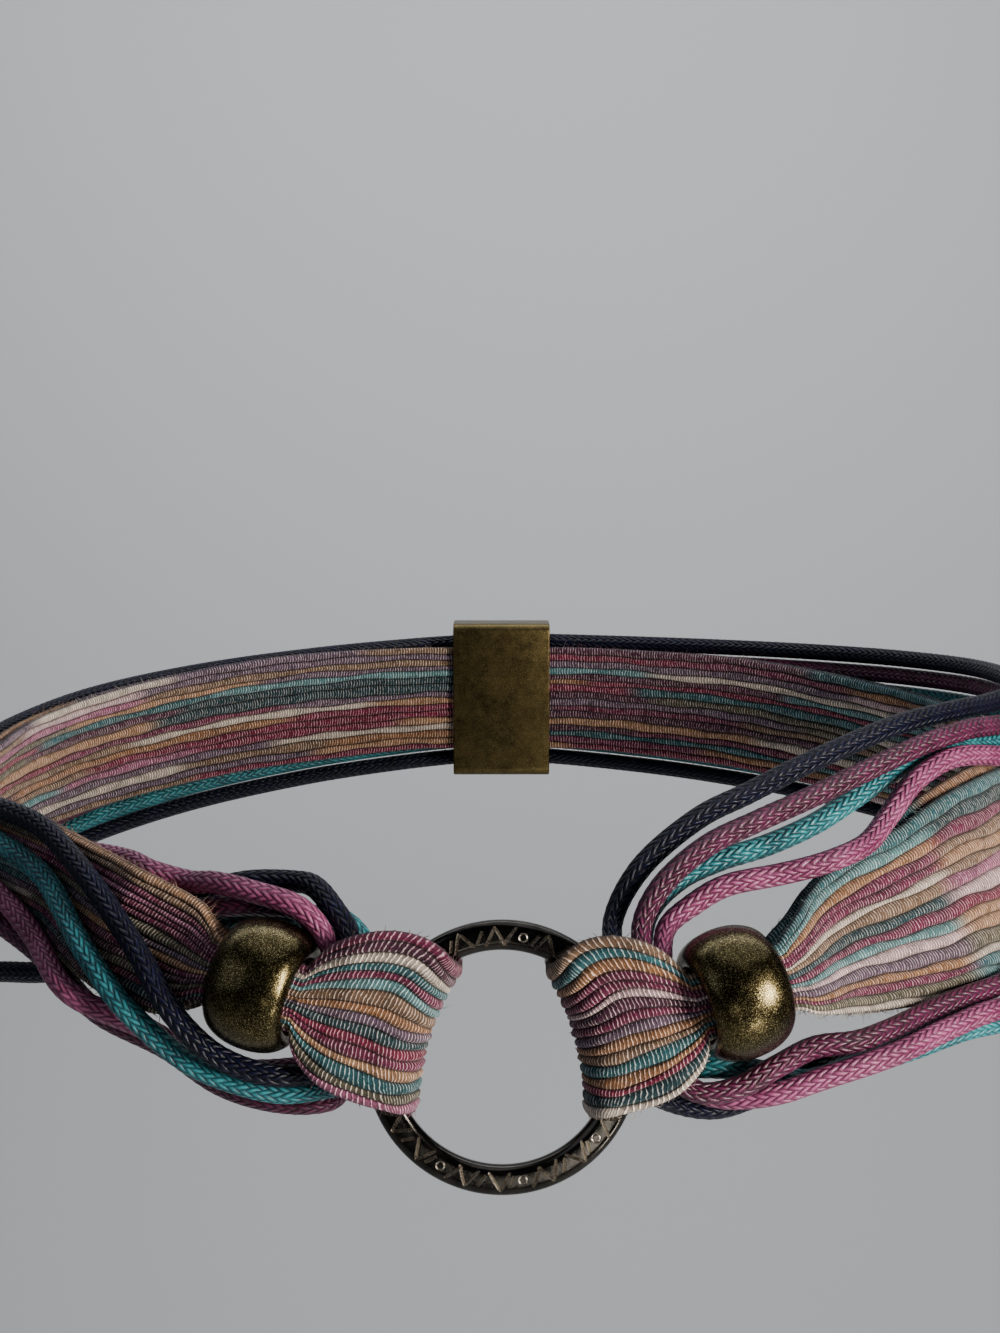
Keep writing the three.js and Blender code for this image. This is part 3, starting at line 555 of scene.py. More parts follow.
class Value:
    """A number or colour inside a material: a node's output, with sums written as Python writes them."""

    def __init__(self, paint: "Paint", socket: bpy.types.NodeSocket) -> None:
        """Wraps a socket of the material that the paint builds."""
        self.paint = paint
        self.socket = socket

    def _with(self, operation: str, first: Any, second: Any = None) -> "Value":
        """One Math node on a value, or on two."""
        values = {0: first} if second is None else {0: first, 1: second}
        return self.paint.node("ShaderNodeMath", {"operation": operation}, values)

    def __add__(self, other: Any) -> "Value":
        """The sum."""
        return self._with("ADD", self, other)

    __radd__ = __add__

    def __sub__(self, other: Any) -> "Value":
        """The difference."""
        return self._with("SUBTRACT", self, other)

    def __rsub__(self, other: Any) -> "Value":
        """A number less this value."""
        return self._with("SUBTRACT", other, self)

    def __mul__(self, other: Any) -> "Value":
        """The product."""
        return self._with("MULTIPLY", self, other)

    def __gt__(self, other: Any) -> "Value":
        """1 where this value is the larger, and 0 elsewhere."""
        return self._with("GREATER_THAN", self, other)

    def fract(self) -> "Value":
        """The part after the decimal point."""
        return self._with("FRACT", self)

    def floor(self) -> "Value":
        """The whole part."""
        return self._with("FLOOR", self)

    def size(self) -> "Value":
        """The value without its sign."""
        return self._with("ABSOLUTE", self)

    def clamped(self) -> "Value":
        """The value held between 0 and 1."""
        return self.between(0.0, 1.0)

    def between(self, low: float, high: float) -> "Value":
        """0 below low, 1 above high and a straight ramp between them."""
        return self.paint.node(
            "ShaderNodeMapRange", {"clamp": True}, {"Value": self, "From Min": low, "From Max": high}
        )

    def smooth(self, low: float, high: float) -> "Value":
        """0 below low, 1 above high and a smooth step between them."""
        return self.paint.node(
            "ShaderNodeMapRange",
            {"interpolation_type": "SMOOTHSTEP"},
            {"Value": self, "From Min": low, "From Max": high},
        )

    def output(self, name: str) -> "Value":
        """Another output of the same node."""
        return Value(self.paint, self.socket.node.outputs[name])


class Paint:
    """Builds one material's nodes round a Principled shader. Plain numbers in a mix are its weights."""

    def __init__(self, name: str, fixed: dict[str, Any]) -> None:
        """Starts a material.

        Args:
            name: The material's name.
            fixed: Shader sockets that hold one value all over.
        """
        self.material = bpy.data.materials.new(name)
        self.material.use_nodes = True
        self.tree = self.material.node_tree
        self.shader = self.tree.nodes["Principled BSDF"]
        for socket, value in fixed.items():
            self.shader.inputs[socket].default_value = value

    def node(self, kind: str, settings: dict[str, Any], values: dict[Any, Any], output: Any = 0) -> Value:
        """Adds a node of any kind.

        Args:
            kind: The node's type.
            settings: Its properties, set first.
            values: A number, colour or Value for each named or numbered input.
            output: The output to give back.

        Returns:
            That output.
        """
        made = self.tree.nodes.new(kind)
        for name, setting in settings.items():
            setattr(made, name, setting)
        for name, value in values.items():
            if isinstance(value, Value):
                self.tree.links.new(value.socket, made.inputs[name])
            else:
                made.inputs[name].default_value = value
        return Value(self, made.outputs[output])

    def place(self) -> Value:
        """The place on the piece, in metres."""
        return self.node("ShaderNodeTexCoord", {}, {}, "Object")

    def strip(self) -> tuple[Value, Value]:
        """The place across and along a strip or cord, from its UV map."""
        uv = self.node("ShaderNodeUVMap", {"uv_map": "Strip"}, {})
        apart = self.node("ShaderNodeSeparateXYZ", {}, {0: uv}, "X")
        return apart, apart.output("Y")

    def attribute(self, name: str, output: str = "Fac") -> Value:
        """A value that the mesh carries at its points."""
        return self.node("ShaderNodeAttribute", {"attribute_name": name}, {}, output)

    def noise(self, at: Value, scale: float, detail: float = 2.0, rough: float = 0.5) -> Value:
        """Smooth noise from 0 to 1, in waves for each metre, with finer layers as strong as rough."""
        inputs = {"Vector": at, "Scale": scale, "Detail": detail, "Roughness": rough}
        return self.node("ShaderNodeTexNoise", {}, inputs)

    def mix(self, share: Any, first: Any, second: Any) -> Value:
        """Two colours mixed, each a Value or #rrggbb.

        Args:
            share: How much of the second.
            first: The first colour.
            second: The second colour.

        Returns:
            The mixed colour.
        """
        first, second = (rgba(c) if isinstance(c, str) else c for c in (first, second))
        made = self.node("ShaderNodeMix", {"data_type": "RGBA"}, {"Factor": share}, 2)
        for socket, value in ((6, first), (7, second)):
            if isinstance(value, Value):
                self.tree.links.new(value.socket, made.socket.node.inputs[socket])
            else:
                made.socket.node.inputs[socket].default_value = value
        return made

    def lit(self, colour: Value, amount: Any) -> Value:
        """A colour made darker by an amount under 1, or lighter above it."""
        return self.node("ShaderNodeVectorMath", {"operation": "SCALE"}, {0: colour, "Scale": amount})

    def finish(self, links: dict[str, Value], height: Value, depth: float) -> bpy.types.Material:
        """Links the shader and its bump.

        Args:
            links: Values for the shader's sockets.
            height: The bump's height from 0 to 1.
            depth: The bump's full height in metres.

        Returns:
            The finished material.
        """
        for name, value in links.items():
            self.tree.links.new(value.socket, self.shader.inputs[name])
        bump = self.node("ShaderNodeBump", {}, {"Height": height, "Distance": depth, "Strength": 1.0})
        self.tree.links.new(bump.socket, self.shader.inputs["Normal"])
        return self.material


@dataclass(frozen=True)
class ClothFinish:
    """The woven strip: coloured yarn ribs under pale shiny cross threads, with painted shade in the rib
    valleys and between the threads and a painted highlight on the threads.
    """

    length: float
    thread_pitch: float = 0.94
    thread: str = "#f4e8e2"
    bump: float = 0.5

    def material(self, name: str) -> bpy.types.Material:
        """The cloth's material.

        Args:
            name: The material's name.

        Returns:
            The material, which reads the piece's yarn colour, crest and Strip map.
        """
        paint = Paint(name, {"Sheen Weight": 0.1, "Sheen Roughness": 0.5, "Specular IOR Level": 0.3})
        place = paint.place()
        _, along = paint.strip()
        yarn = paint.attribute("yarn", "Color")
        crest = paint.attribute("crest")
        phase = paint.attribute("phase")
        drift = paint.noise(place, 90.0)
        wobble = paint.noise(place, 520.0)
        beat = along * (self.length / self.thread_pitch) + drift * 1.6 + wobble * 0.85 + phase * 0.45
        off = (beat.fract() - 0.5).size() * 2.0
        thread = 1.0 - off.smooth(0.06, 0.44)
        fibre = paint.noise(place, 2600.0, 3.0, 0.7)
        patch = paint.noise(place, 700.0, 2.0, 0.6)
        shown = thread * crest.smooth(0.2, 0.75) * patch.between(0.36, 0.56)
        blotch = paint.noise(place, 190.0, 3.0, 0.6)
        # Painted shade: darker in the valleys between the ribs, where crest is low, and in the gaps between
        # the cross threads.
        painted_shade = (crest.smooth(0.12, 0.85) * 0.86 + 0.1) * (thread * 0.56 + 0.4)
        # shade is random fibre and blotch tone times that painted shade, and dyed is the yarn colour darkened
        # by it.
        shade = (fibre * 1.4 + blotch * 1.5 - 0.55) * painted_shade
        dyed = paint.lit(yarn, shade)
        # The cross threads: the pale thread colour half mixed with the yarn lightened 2.2 times, a painted
        # highlight; they show most on the rib crests.
        thread_and_sheen = paint.mix(0.5, paint.lit(yarn, 2.2), self.thread)
        colour = paint.mix(shown * 0.88, dyed, thread_and_sheen)
        rough = 0.85 - shown * 0.5
        height = thread * 0.5 + fibre * 0.5
        return paint.finish({"Base Color": colour, "Roughness": rough}, height, self.bump * MM)


@dataclass(frozen=True)
class BraidFinish:
    """A waxed round braid: strands that cross over and under each other, painted darker at their edges as
    shade and lighter on their crowns as highlight.
    """

    colour: CordColour
    length: float
    cells: int
    cell_length: float
    roughness: float = 0.36
    bump: float = 0.5

    def material(self, name: str) -> bpy.types.Material:
        """The cord's material.

        Args:
            name: The material's name.

        Returns:
            The material, which reads the piece's Strip map.
        """
        # dark and light are one cord colour in painted shade and in painted highlight.
        dark, light, gloss = self.colour.value
        paint = Paint(name, {"Specular IOR Level": gloss})
        place = paint.place()
        across, along = paint.strip()
        turns = across * self.cells + (paint.noise(place, 260.0) - 0.5) * 0.5
        waves = along * (self.length / self.cell_length)
        one, two = turns + waves, turns - waves
        over = ((one.floor() + two.floor()) * 0.25).fract() > 0.49
        width = one.fract() + (two.fract() - one.fract()) * over
        first_run = ((two + one.floor()) * 0.25).fract()
        second_run = ((one + two.floor() - 2.0) * 0.25).fract()
        run = (first_run + (second_run - first_run) * over) * 2.0
        width, run = (width - 0.5) * 2.0, (run - 0.5) * 2.0
        strand = (1.0 - width * width) * (1.0 - run * run * 0.75)
        fibre = paint.noise(place, 3800.0, 2.0, 0.6)
        cloud = paint.noise(place, 140.0)
        streak = paint.noise(place, 900.0, 3.0, 0.65)
        # tone is random tone from fibre, streak and cloud, plus painted light: strand is high on each strand's
        # crown, painted highlight, and low at its edges, painted shade.
        tone = (strand * 0.62 + fibre * 0.5 + streak * 0.7 - 0.66 + (cloud - 0.5) * 0.9).clamped()
        colour = paint.mix(tone, dark, light)
        rough = self.roughness + 0.12 - strand * 0.16 + (fibre - 0.5) * 0.2
        height = strand * 0.85 + fibre * 0.15
        return paint.finish({"Base Color": colour, "Roughness": rough}, height, self.bump * MM)


@dataclass(frozen=True)
class BronzeFinish:
    """Old cast bronze: a dark mottled patina with a sandy bright grain."""

    dark: str
    worn: str
    grain: str
    roughness: float
    grain_size: float = 0.2
    glitter: float = 0.75
    bump: float = 0.03

    def material(self, name: str) -> bpy.types.Material:
        """The metal's material.

        Args:
            name: The material's name.

        Returns:
            The material, on Object coordinates.
        """
        paint = Paint(name, {"Metallic": 1.0})
        place = paint.place()
        cloud = paint.noise(place, 110.0, 3.0, 0.6)
        stain = paint.noise(place, 420.0, 3.0, 0.6)
        sand = paint.noise(place, 1.0 / (self.grain_size * MM), 2.0, 0.7)
        patina = paint.mix((cloud * 0.35 + stain * 0.25 + 0.22).smooth(0.34, 0.72), self.dark, self.worn)
        colour = paint.mix(sand.smooth(0.52, 0.72) * self.glitter, patina, self.grain)
        rough = self.roughness + (sand - 0.5) * 0.35 + (stain - 0.5) * 0.18
        height = sand * 0.6 + stain * 0.4
        return paint.finish({"Base Color": colour, "Roughness": rough}, height, self.bump * MM)


RING_BRONZE = BronzeFinish(
    dark="#1d1c1b", worn="#4a4743", grain="#8a857c", roughness=0.16, glitter=0.25, bump=0.01
)
GROOVE_BRONZE = BronzeFinish(dark="#77716a", worn="#b9b1a2", grain="#fff6e4", roughness=0.26, bump=0.01)
BEAD_BRONZE = BronzeFinish(
    dark="#16120a", worn="#443b23", grain="#e6d79c", roughness=0.25, grain_size=0.23, glitter=0.62
)
SLEEVE_BRONZE = BronzeFinish(dark="#2c2619", worn="#6a5c38", grain="#a89866", roughness=0.38)


@dataclass(frozen=True)
class Rib:
    """One rib of the strip: its share of the width, and its yarn on the loop and on the fan."""

    width: float
    loop: Yarn
    fan: Yarn


RIGHT_RIBS = (
    Rib(1.15, Yarn.TAN, Yarn.TEAL),
    Rib(1.0, Yarn.TEAL, Yarn.LIGHT_TEAL),
    Rib(1.0, Yarn.ORANGE, Yarn.ORANGE),
    Rib(0.9, Yarn.MAGENTA, Yarn.MAGENTA),
    Rib(0.9, Yarn.MAGENTA, Yarn.MAGENTA),
    Rib(0.7, Yarn.PALE_PINK, Yarn.CREAM),
    Rib(1.1, Yarn.PLUM, Yarn.TAN),
    Rib(1.0, Yarn.MAGENTA, Yarn.DEEP_TEAL),
    Rib(1.0, Yarn.MAUVE, Yarn.MAGENTA),
    Rib(0.9, Yarn.ORANGE, Yarn.LIGHT_TEAL),
    Rib(1.0, Yarn.TAN, Yarn.PALE_PINK),
    Rib(1.2, Yarn.TEAL, Yarn.MAUVE),
    Rib(0.8, Yarn.ORANGE, Yarn.ORANGE),
    Rib(0.8, Yarn.CRIMSON, Yarn.MAGENTA),
    Rib(1.0, Yarn.DEEP_TEAL, Yarn.OLIVE),
    Rib(0.9, Yarn.CREAM, Yarn.CREAM),
)
LEFT_RIBS = (
    Rib(1.0, Yarn.MAGENTA, Yarn.PEACH),
    Rib(0.9, Yarn.PLUM, Yarn.TAN),
    Rib(0.9, Yarn.CREAM, Yarn.MAGENTA),
    Rib(0.7, Yarn.TEAL, Yarn.PINK),
    Rib(0.9, Yarn.MAGENTA, Yarn.MAGENTA),
    Rib(1.0, Yarn.LIGHT_TEAL, Yarn.MAGENTA),
    Rib(1.3, Yarn.TAN, Yarn.OLIVE),
    Rib(0.8, Yarn.ORANGE, Yarn.MAUVE),
    Rib(0.9, Yarn.MAUVE, Yarn.PEACH),
    Rib(1.0, Yarn.DEEP_TEAL, Yarn.MAGENTA),
    Rib(1.0, Yarn.CRIMSON, Yarn.PLUM),
    Rib(1.0, Yarn.MAGENTA, Yarn.OLIVE),
    Rib(0.9, Yarn.PEACH, Yarn.MAGENTA),
    Rib(1.1, Yarn.TEAL, Yarn.DEEP_TEAL),
    Rib(0.9, Yarn.OLIVE, Yarn.PLUM),
    Rib(0.8, Yarn.PINK, Yarn.OLIVE),
)


@dataclass(frozen=True)
class RingSize:
    """The centre ring's sizes and the middle of its wire."""

    bore: float = 50.0
    outer: float = 64.0
    depth: float = 5.0
    stand_off: float = 5.6
    corner: float = 3.0

    @property
    def across(self) -> float:
        """The ring's mid plane in Y."""
        return -(WAIST.half_depth + self.stand_off)

    @property
    def wire(self) -> float:
        """The wire's width."""
        return (self.outer - self.bore) / 2

    @property
    def middle(self) -> float:
        """The radius of the wire's middle."""
        return (self.outer + self.bore) / 4


RING = RingSize()


@dataclass(frozen=True)
class BeadPlace:
    """Where a bead sits on the waist, how its hole leans, and the sizes of the barrel."""

    turn: float
    height: float
    tilt: float
    lift: float = 16.0
    diameter: float = 31.0
    length: float = 19.6
    hole: float = 18.6

    def middle(self) -> np.ndarray:
        """The bead's middle, on the right-hand side."""
        return WAIST.point(self.turn, self.height, self.lift)

    def axes(self) -> tuple[np.ndarray, np.ndarray, np.ndarray]:
        """The bead's own directions, on the right-hand side.

        Returns:
            Unit vectors across, along the hole away from the ring, and out.
        """
        along, up, out, _ = WAIST.frame(self.turn, self.height, self.lift)
        tilt = math.radians(self.tilt)
        axis = along * math.cos(tilt) + up * math.sin(tilt)
        return np.cross(axis, out), axis, out


@dataclass(frozen=True)
class LoopPlace:
    """The arc of the ring that the cloth's loop covers, and how the loop runs on to the bead.

    The front face is lifted and drawn together on the ring. Leave, spread and enter are the directions in
    which it leaves the ring and enters the bead, in degrees; the pulls are how hard it keeps to them, in
    millimetres.
    """

    middle: float
    half: float = 49.0
    bulge: float = 4.5
    lifted: float = 2.9
    drawn: float = 5.6
    leave: float = 31.0
    spread: float = 19.0
    enter: float = 76.0
    pull: float = 16.0
    edge_pull: float = 18.0
    back_pull: float = 11.0
    clearance: float = 0.4

    def angle(self, share: np.ndarray, drawn: Any) -> np.ndarray:
        """The angle round the ring in radians; drawn is 1 on the front face, 0 at the fold and behind."""
        return np.radians(self.middle + self.lifted * drawn + (self.half - self.drawn * drawn) * share)


# Between the bead's mouth and the ring, by the distance from the mouth: where the loop's inner faces stand
# before and behind the ring's mid plane, and how much the shape is already the bead's.
REACH = Table(
    ("gap", "front", "back", "thick", "edge", "bead"),
    (
        (0, 5.6, -3, 5.4, 2.2, 1),
        (2.4, 5.9, -1, 4.6, 2.6, 0.6),
        (4.4, 6.6, 1.8, 3.6, 3.4, 0.1),
        (6.6, 7.6, 4.2, 3, 4.5, 0),
        (9, 8.2, 5.2, 2.8, 5, 0),
        (12, 8.3, 4.8, 2.6, 6, 0),
        (15, 8.1, 3.2, 2.6, 6, 0),
        (18, 8.1, 3.1, 2.6, 6, 0),
    ),
)


def smooth_noise(
    rng: np.random.Generator, along: np.ndarray, count: int, waves: tuple[float, ...]
) -> np.ndarray:
    """Smooth wandering numbers, about -1 to 1, one column for each of count yarns.

    Args:
        rng: The seeded source.
        along: Places along the strip.
        count: How many yarns.
        waves: Wavelengths in the same unit.

    Returns:
        Place by yarn numbers.
    """
    total = np.zeros((len(along), count))
    for wave in waves:
        own = wave * rng.uniform(0.8, 1.25, count)
        total += np.sin(2 * np.pi * along[:, None] / own + rng.uniform(0, 2 * np.pi, count)) / len(waves)
    return total


@dataclass(frozen=True)
class Weave:
    """The strip's ribs laid out: for each station and sample, the share of the half width and the height."""

    shares: np.ndarray
    relief: np.ndarray

    def part(self, chosen: list[int]) -> "Weave":
        """The ribs at the chosen stations alone."""
        return Weave(self.shares[chosen], self.relief[chosen])


@dataclass
class Fibres:
    """Loose fibres of one strip, gathered into one mesh: bent, pointed and of three sides."""

    rng: np.random.Generator
    rings: np.ndarray
    colours: np.ndarray
    lengths: tuple[float, float] = (0.7, 2.6)
    radii: tuple[float, float] = (0.06, 0.13)
    bend: float = 0.35
    sections: tuple[tuple[float, float], ...] = ((-0.1, 1.0), (0.5, 0.8))
    # The cloth paints less shade on the fibres the higher this crest is.
    crest: float = 0.8
    points: list[np.ndarray] = field(default_factory=list)
    faces: list[tuple[int, ...]] = field(default_factory=list)
    paint: list[np.ndarray] = field(default_factory=list)

    def add(self, k: int, i: int, outward: float) -> None:
        """Adds one fibre.

        Args:
            k: The ring of the strip that it starts at.
            i: The sample that it starts at.
            outward: -1 or 1 for the strip's edges, 0 for its face.
        """
        rng, rings = self.rng, self.rings
        root = rings[k, i]
        run = unit(rings[k + 1, i] - rings[k - 1, i])
        side = unit(rings[k, min(i + 1, rings.shape[1] - 1)] - rings[k, max(i - 1, 0)])
        normal = unit(np.cross(run, side))
        normal = normal * np.sign(np.dot(normal, root - rings[k].mean(axis=0)) or 1.0)
        aim = side * outward * 0.9 + normal * rng.uniform(0.1, 0.7) + run * rng.normal(0, 0.5)
        aim = unit(aim + rng.normal(0, 0.2, 3))
        length, radius = rng.uniform(*self.lengths), rng.uniform(*self.radii)
        bend = rng.normal(0, self.bend, 3) * length
        one = unit(np.cross(aim, run + 0.01))
        two = np.cross(aim, one)
        start = len(self.points)
        for share, width in self.sections:
            middle = root + aim * length * share + bend * max(share, 0) ** 2
            for turn in range(3):
                angle = 2 * math.pi * turn / 3
                self.points.append(middle + (one * math.cos(angle) + two * math.sin(angle)) * radius * width)
        self.points.append(root + aim * length + bend)
        for turn in range(3):
            a, b = start + turn, start + (turn + 1) % 3
            self.faces.append((a, b, b + 3, a + 3))
            self.faces.append((a + 3, b + 3, start + 6))
        self.faces.append((start + 2, start + 1, start))
        self.paint.extend([self.colours[k, i]] * (len(self.points) - start))

    def build(self, name: str) -> bpy.types.Object:
        """Makes the mesh of all the fibres.

        Args:
            name: The piece's name.

        Returns:
            The piece, without a material.
        """
        mesh = bpy.data.meshes.new(name)
        mesh.from_pydata((np.array(self.points) * MM).tolist(), [], self.faces)
        mesh.uv_layers.new(name="Strip")
        dyed = mesh.attributes.new("yarn", "FLOAT_COLOR", "POINT")
        dyed.data.foreach_set("color", np.array(self.paint).ravel())
        crest = mesh.attributes.new("crest", "FLOAT", "POINT")
        crest.data.foreach_set("value", [self.crest] * len(self.points))
        return linked(mesh.name, mesh)


@dataclass
class WovenBand:
    """One side's strip of cloth, from the sleeve over the front of the ring and back to the sleeve."""

    hand: Hand
    outer: Table
    inner: Table
    bead: BeadPlace
    loop: LoopPlace
    ribs: tuple[Rib, ...]
    seed: int
    fine_step: float = 1.35
    plain_step: float = 2.3
    fine_turn: float = 62.0
    face_places: tuple[float, ...] = (-0.97, -0.7, -0.26, 0.26, 0.7, 0.97)
    back_places: tuple[float, ...] = (-0.85, 0.0, 0.85)
    rib_depth: float = 0.64
    deepest_rib: float = 1.75
    rib_roundness: float = 0.94
    crest_level: float = 0.74
    crest_roundness: float = 0.98
    slub: float = 0.24
    slub_waves: tuple[float, ...] = (4.2, 9.5, 23.0)
    puff: float = 0.35
    puff_waves: tuple[float, ...] = (2.6, 5.0)
    wander: float = 0.2
    wander_waves: tuple[float, ...] = (24.0, 57.0)
    under_relief: float = 0.6
    reach_rows: int = 20
    wrap_rows: int = 19
    flat_width: float = 50.0
    cast: float = 75.0
    dyed_lengths: tuple[float, float] = (50, 130)
    dye_overlap: float = 4
    dye_tone: float = 0.16
    dye_waves: tuple[float, ...] = (7.0, 19.0, 43.0)
    face_fibres: int = 420
    edge_fibre_share: float = 0.85
    fibre_margin: int = 4
    dye_seed: int = 7
    phase_seed: int = 5
    fray_seed: int = 3
    rib_of: np.ndarray = field(init=False)
    bow: np.ndarray = field(init=False)
    face_count: int = field(init=False)

    def __post_init__(self) -> None:
        """Lays the samples out across the strip, rib by rib: the face from below up, the back down again."""
        count = len(self.ribs)
        face = [(k, x) for k in range(count) for x in self.face_places]
        back = [(k, x) for k in reversed(range(count)) for x in reversed(self.back_places)]
        self.rib_of = np.array([k for k, _ in face + back])
        self.bow = np.array([x for _, x in face + back])
        self.face_count = len(face)

    @property
    def on_face(self) -> np.ndarray:
        """Whether each sample lies on the strip's face."""
        return np.arange(len(self.bow)) < self.face_count

    def stations(self) -> list[tuple[str, float, int]]:
        """The strip's stations in order.

        Returns:
            The zone, the place in it and which layer it is, for each station.
        """
        found = []
        for layer, table in ((1, self.outer), (-1, self.inner)):
            middle = WAIST.point(table.knots("turn"), table.knots("height"), table.knots("lift"))
            spans = np.linalg.norm(np.diff(middle, axis=0), axis=1)
            places = []
            for k, span in enumerate(spans):
                fine = table.knots("turn")[k] < self.fine_turn
                count = max(2, math.ceil(span / (self.fine_step if fine else self.plain_step)))
                places += [("layer", k + n / count, layer) for n in range(count)]
            places.append(("layer", float(table.last), layer))
            reach = [("reach", way, layer) for way in np.linspace(0.95, 0, self.reach_rows)]
            if layer > 0:
                found += places[::-1] + reach
                found += [("wrap", angle, 1) for angle in np.linspace(9, 171, self.wrap_rows)]
            else:
                found += reach[::-1] + places
        return found

    def weave(self, width: np.ndarray, along: np.ndarray) -> Weave:
        """The ribs, whose borders wander a little and whose backs are uneven.

        Args:
            width: The strip's width at each station.
            along: The length along the strip at each station.

        Returns:
            Each sample's share of the half width and its height over the smooth strip.
        """
        rng = np.random.default_rng(self.seed)
        count = len(self.ribs)
        widths = np.array([rib.width for rib in reversed(self.ribs)])
        borders = np.concatenate([[0], np.cumsum(widths)]) / widths.sum() * 2 - 1
        borders = np.repeat(borders[None], len(along), axis=0)
        wander = smooth_noise(rng, along, count - 1, self.wander_waves)
        borders[:, 1:-1] += self.wander / count * 2 * wander
        low, high = borders[:, self.rib_of], borders[:, self.rib_of + 1]
        shares = (low + high) / 2 + (high - low) / 2 * self.bow
        depth = np.minimum(self.deepest_rib, width[:, None] / 2 * (high - low) * self.rib_depth)
        round_rib = np.sqrt(1 - self.rib_roundness * self.bow**2) - self.crest_level
        slub = smooth_noise(rng, along, count, self.slub_waves)[:, self.rib_of]
        puff = smooth_noise(rng, along, len(self.bow), self.puff_waves) * self.puff
        return Weave(shares, depth * round_rib + (slub + puff) * self.slub * (1 - 0.6 * np.abs(self.bow)))

    def layer_rings(self, table: Table, place: np.ndarray, layer: int, weave: Weave) -> np.ndarray:
        """Rings of the strip between the bead and the back.

        Args:
            table: The layer's table.
            place: Places in the table's rows.
            layer: 1 for the outer layer, -1 for the inner.
            weave: The ribs at those places.

        Returns:
            Station by sample points.
        """
        turn, height, lift, width, thick, tilt, edge = (
            table.at(column, place)[:, None] for column in LAYER_COLUMNS
        )
        per_degree = WAIST.frame(turn[:, 0], height[:, 0], lift[:, 0])[3][:, None]
        reach = width / 2 * weave.shares
        up = reach * np.cos(np.radians(tilt))
        back = -reach * np.sin(np.radians(tilt)) / per_degree
        side = np.where(self.on_face, layer, -layer)
        off = side * (thick / 2 + weave.relief) * fullness(weave.shares, edge)
        return WAIST.point(turn + back, height + up, lift + off)

    def reach_rings(self, table: Table, way: np.ndarray, layer: int, weave: Weave) -> np.ndarray:
        """Rings of the loop between the ring (way 0) and the bead's mouth (way 1).

        Args:
            table: The layer's table.
            way: Places from the ring to the mouth.
            layer: 1 before the ring, -1 behind it.
            weave: The ribs at those places.

        Returns:
            Station by sample points.
        """
        share = weave.shares
        mouth = self.layer_rings(table, np.zeros(len(way)), layer, weave)
        across, axis, _ = self.bead.axes()
        middle = WAIST.point(*(table.knots(c)[0] for c in ("turn", "height")), self.bead.lift)
        front = layer > 0
        angle = self.loop.angle(share, float(front))
        leave = np.radians(self.loop.leave + self.loop.spread * share) if front else angle
        enter = np.radians(self.loop.enter * share * front)[..., None]
        if front:
            pull = (self.loop.pull + self.loop.edge_pull * share**2)[..., None]
        else:
            pull = (self.loop.back_pull + share * 0)[..., None]
        level = np.zeros_like(share)
        start = (RING.bore / 2 + RING.corner) * np.stack([np.cos(angle), level, np.sin(angle)], axis=-1)
        heading = np.stack([np.cos(leave), level, np.sin(leave)], axis=-1)
        way = way[:, None, None]
        w2, w3 = way**2, way**3
        point = (
            (start + [0, 0, WAIST.ring_level]) * (2 * w3 - 3 * w2 + 1)
            + heading * pull * (w3 - 2 * w2 + way)
            + mouth * (3 * w2 - 2 * w3)
            + (axis * np.cos(enter) + across * np.sin(enter)) * pull * (w3 - w2)
        )
        gap = (middle[0] - point[..., 0]) * axis[0] + (middle[2] - point[..., 2]) * axis[2]
        place = np.interp(np.maximum(gap, 0), REACH.knots("gap"), np.arange(REACH.last + 1))
        at = {column: REACH.at(column, place.ravel()).reshape(place.shape) for column in REACH.columns}
        rise = np.where(self.on_face, at["thick"] + weave.relief, -weave.relief * self.under_relief)
        rise = rise * fullness(share, at["edge"])
        y = RING.across - layer * (at["front" if front else "back"] + rise)
        point[..., 1] = y + (mouth[..., 1] - y) * at["bead"]
        return point

    def wrap_rings(self, degrees: np.ndarray, weave: Weave) -> np.ndarray:
        """Rings of the fold round the ring's wire; 0 degrees is its front and 180 its back.

        Args:
            degrees: Angles round the wire.
            weave: The ribs at those places.

        Returns:
            Station by sample points.
        """
        share = weave.shares
        c, s = np.cos(np.radians(degrees))[:, None], np.sin(np.radians(degrees))[:, None]
        front, back, thick, edge = (REACH.knots(n)[-1] for n in ("front", "back", "thick", "edge"))
        depth = np.where(c > 0, front, back)
        angle = self.loop.angle(share, np.where(c > 0, 1 - s, 0))
        rise = np.where(self.on_face, thick + weave.relief, -weave.relief * self.under_relief)
        rise = rise * fullness(share, np.float64(edge))
        bulge = self.loop.bulge * (1 - share**2)
        radius = RING.bore / 2 + RING.corner - (RING.corner + self.loop.clearance + bulge + rise) * s
        return np.stack(
            [
                radius * np.cos(angle),
                RING.across - (depth + rise) * c,
                radius * np.sin(angle) + WAIST.ring_level,
            ],
            axis=-1,
        )

    def rings(self, weave: Weave) -> np.ndarray:
        """All the strip's rings in order, mirrored for the left hand.

        Args:
            weave: The ribs at every station.

        Returns:
            Station by sample points.
        """
        stations = self.stations()
        rings = np.empty((*weave.shares.shape, 3))
        for zone in ("layer", "reach", "wrap"):
            for layer, table in ((1, self.outer), (-1, self.inner)):
                chosen = [i for i, s in enumerate(stations) if s[0] == zone and s[2] == layer]
                if not chosen:
                    continue
                place = np.array([stations[i][1] for i in chosen])
                if zone == "layer":
                    rings[chosen] = self.layer_rings(table, place, layer, weave.part(chosen))
                elif zone == "reach":
                    rings[chosen] = self.reach_rings(table, place, layer, weave.part(chosen))
                else:
                    rings[chosen] = self.wrap_rings(place, weave.part(chosen))
        rings[..., 0] *= self.hand.value
        return rings

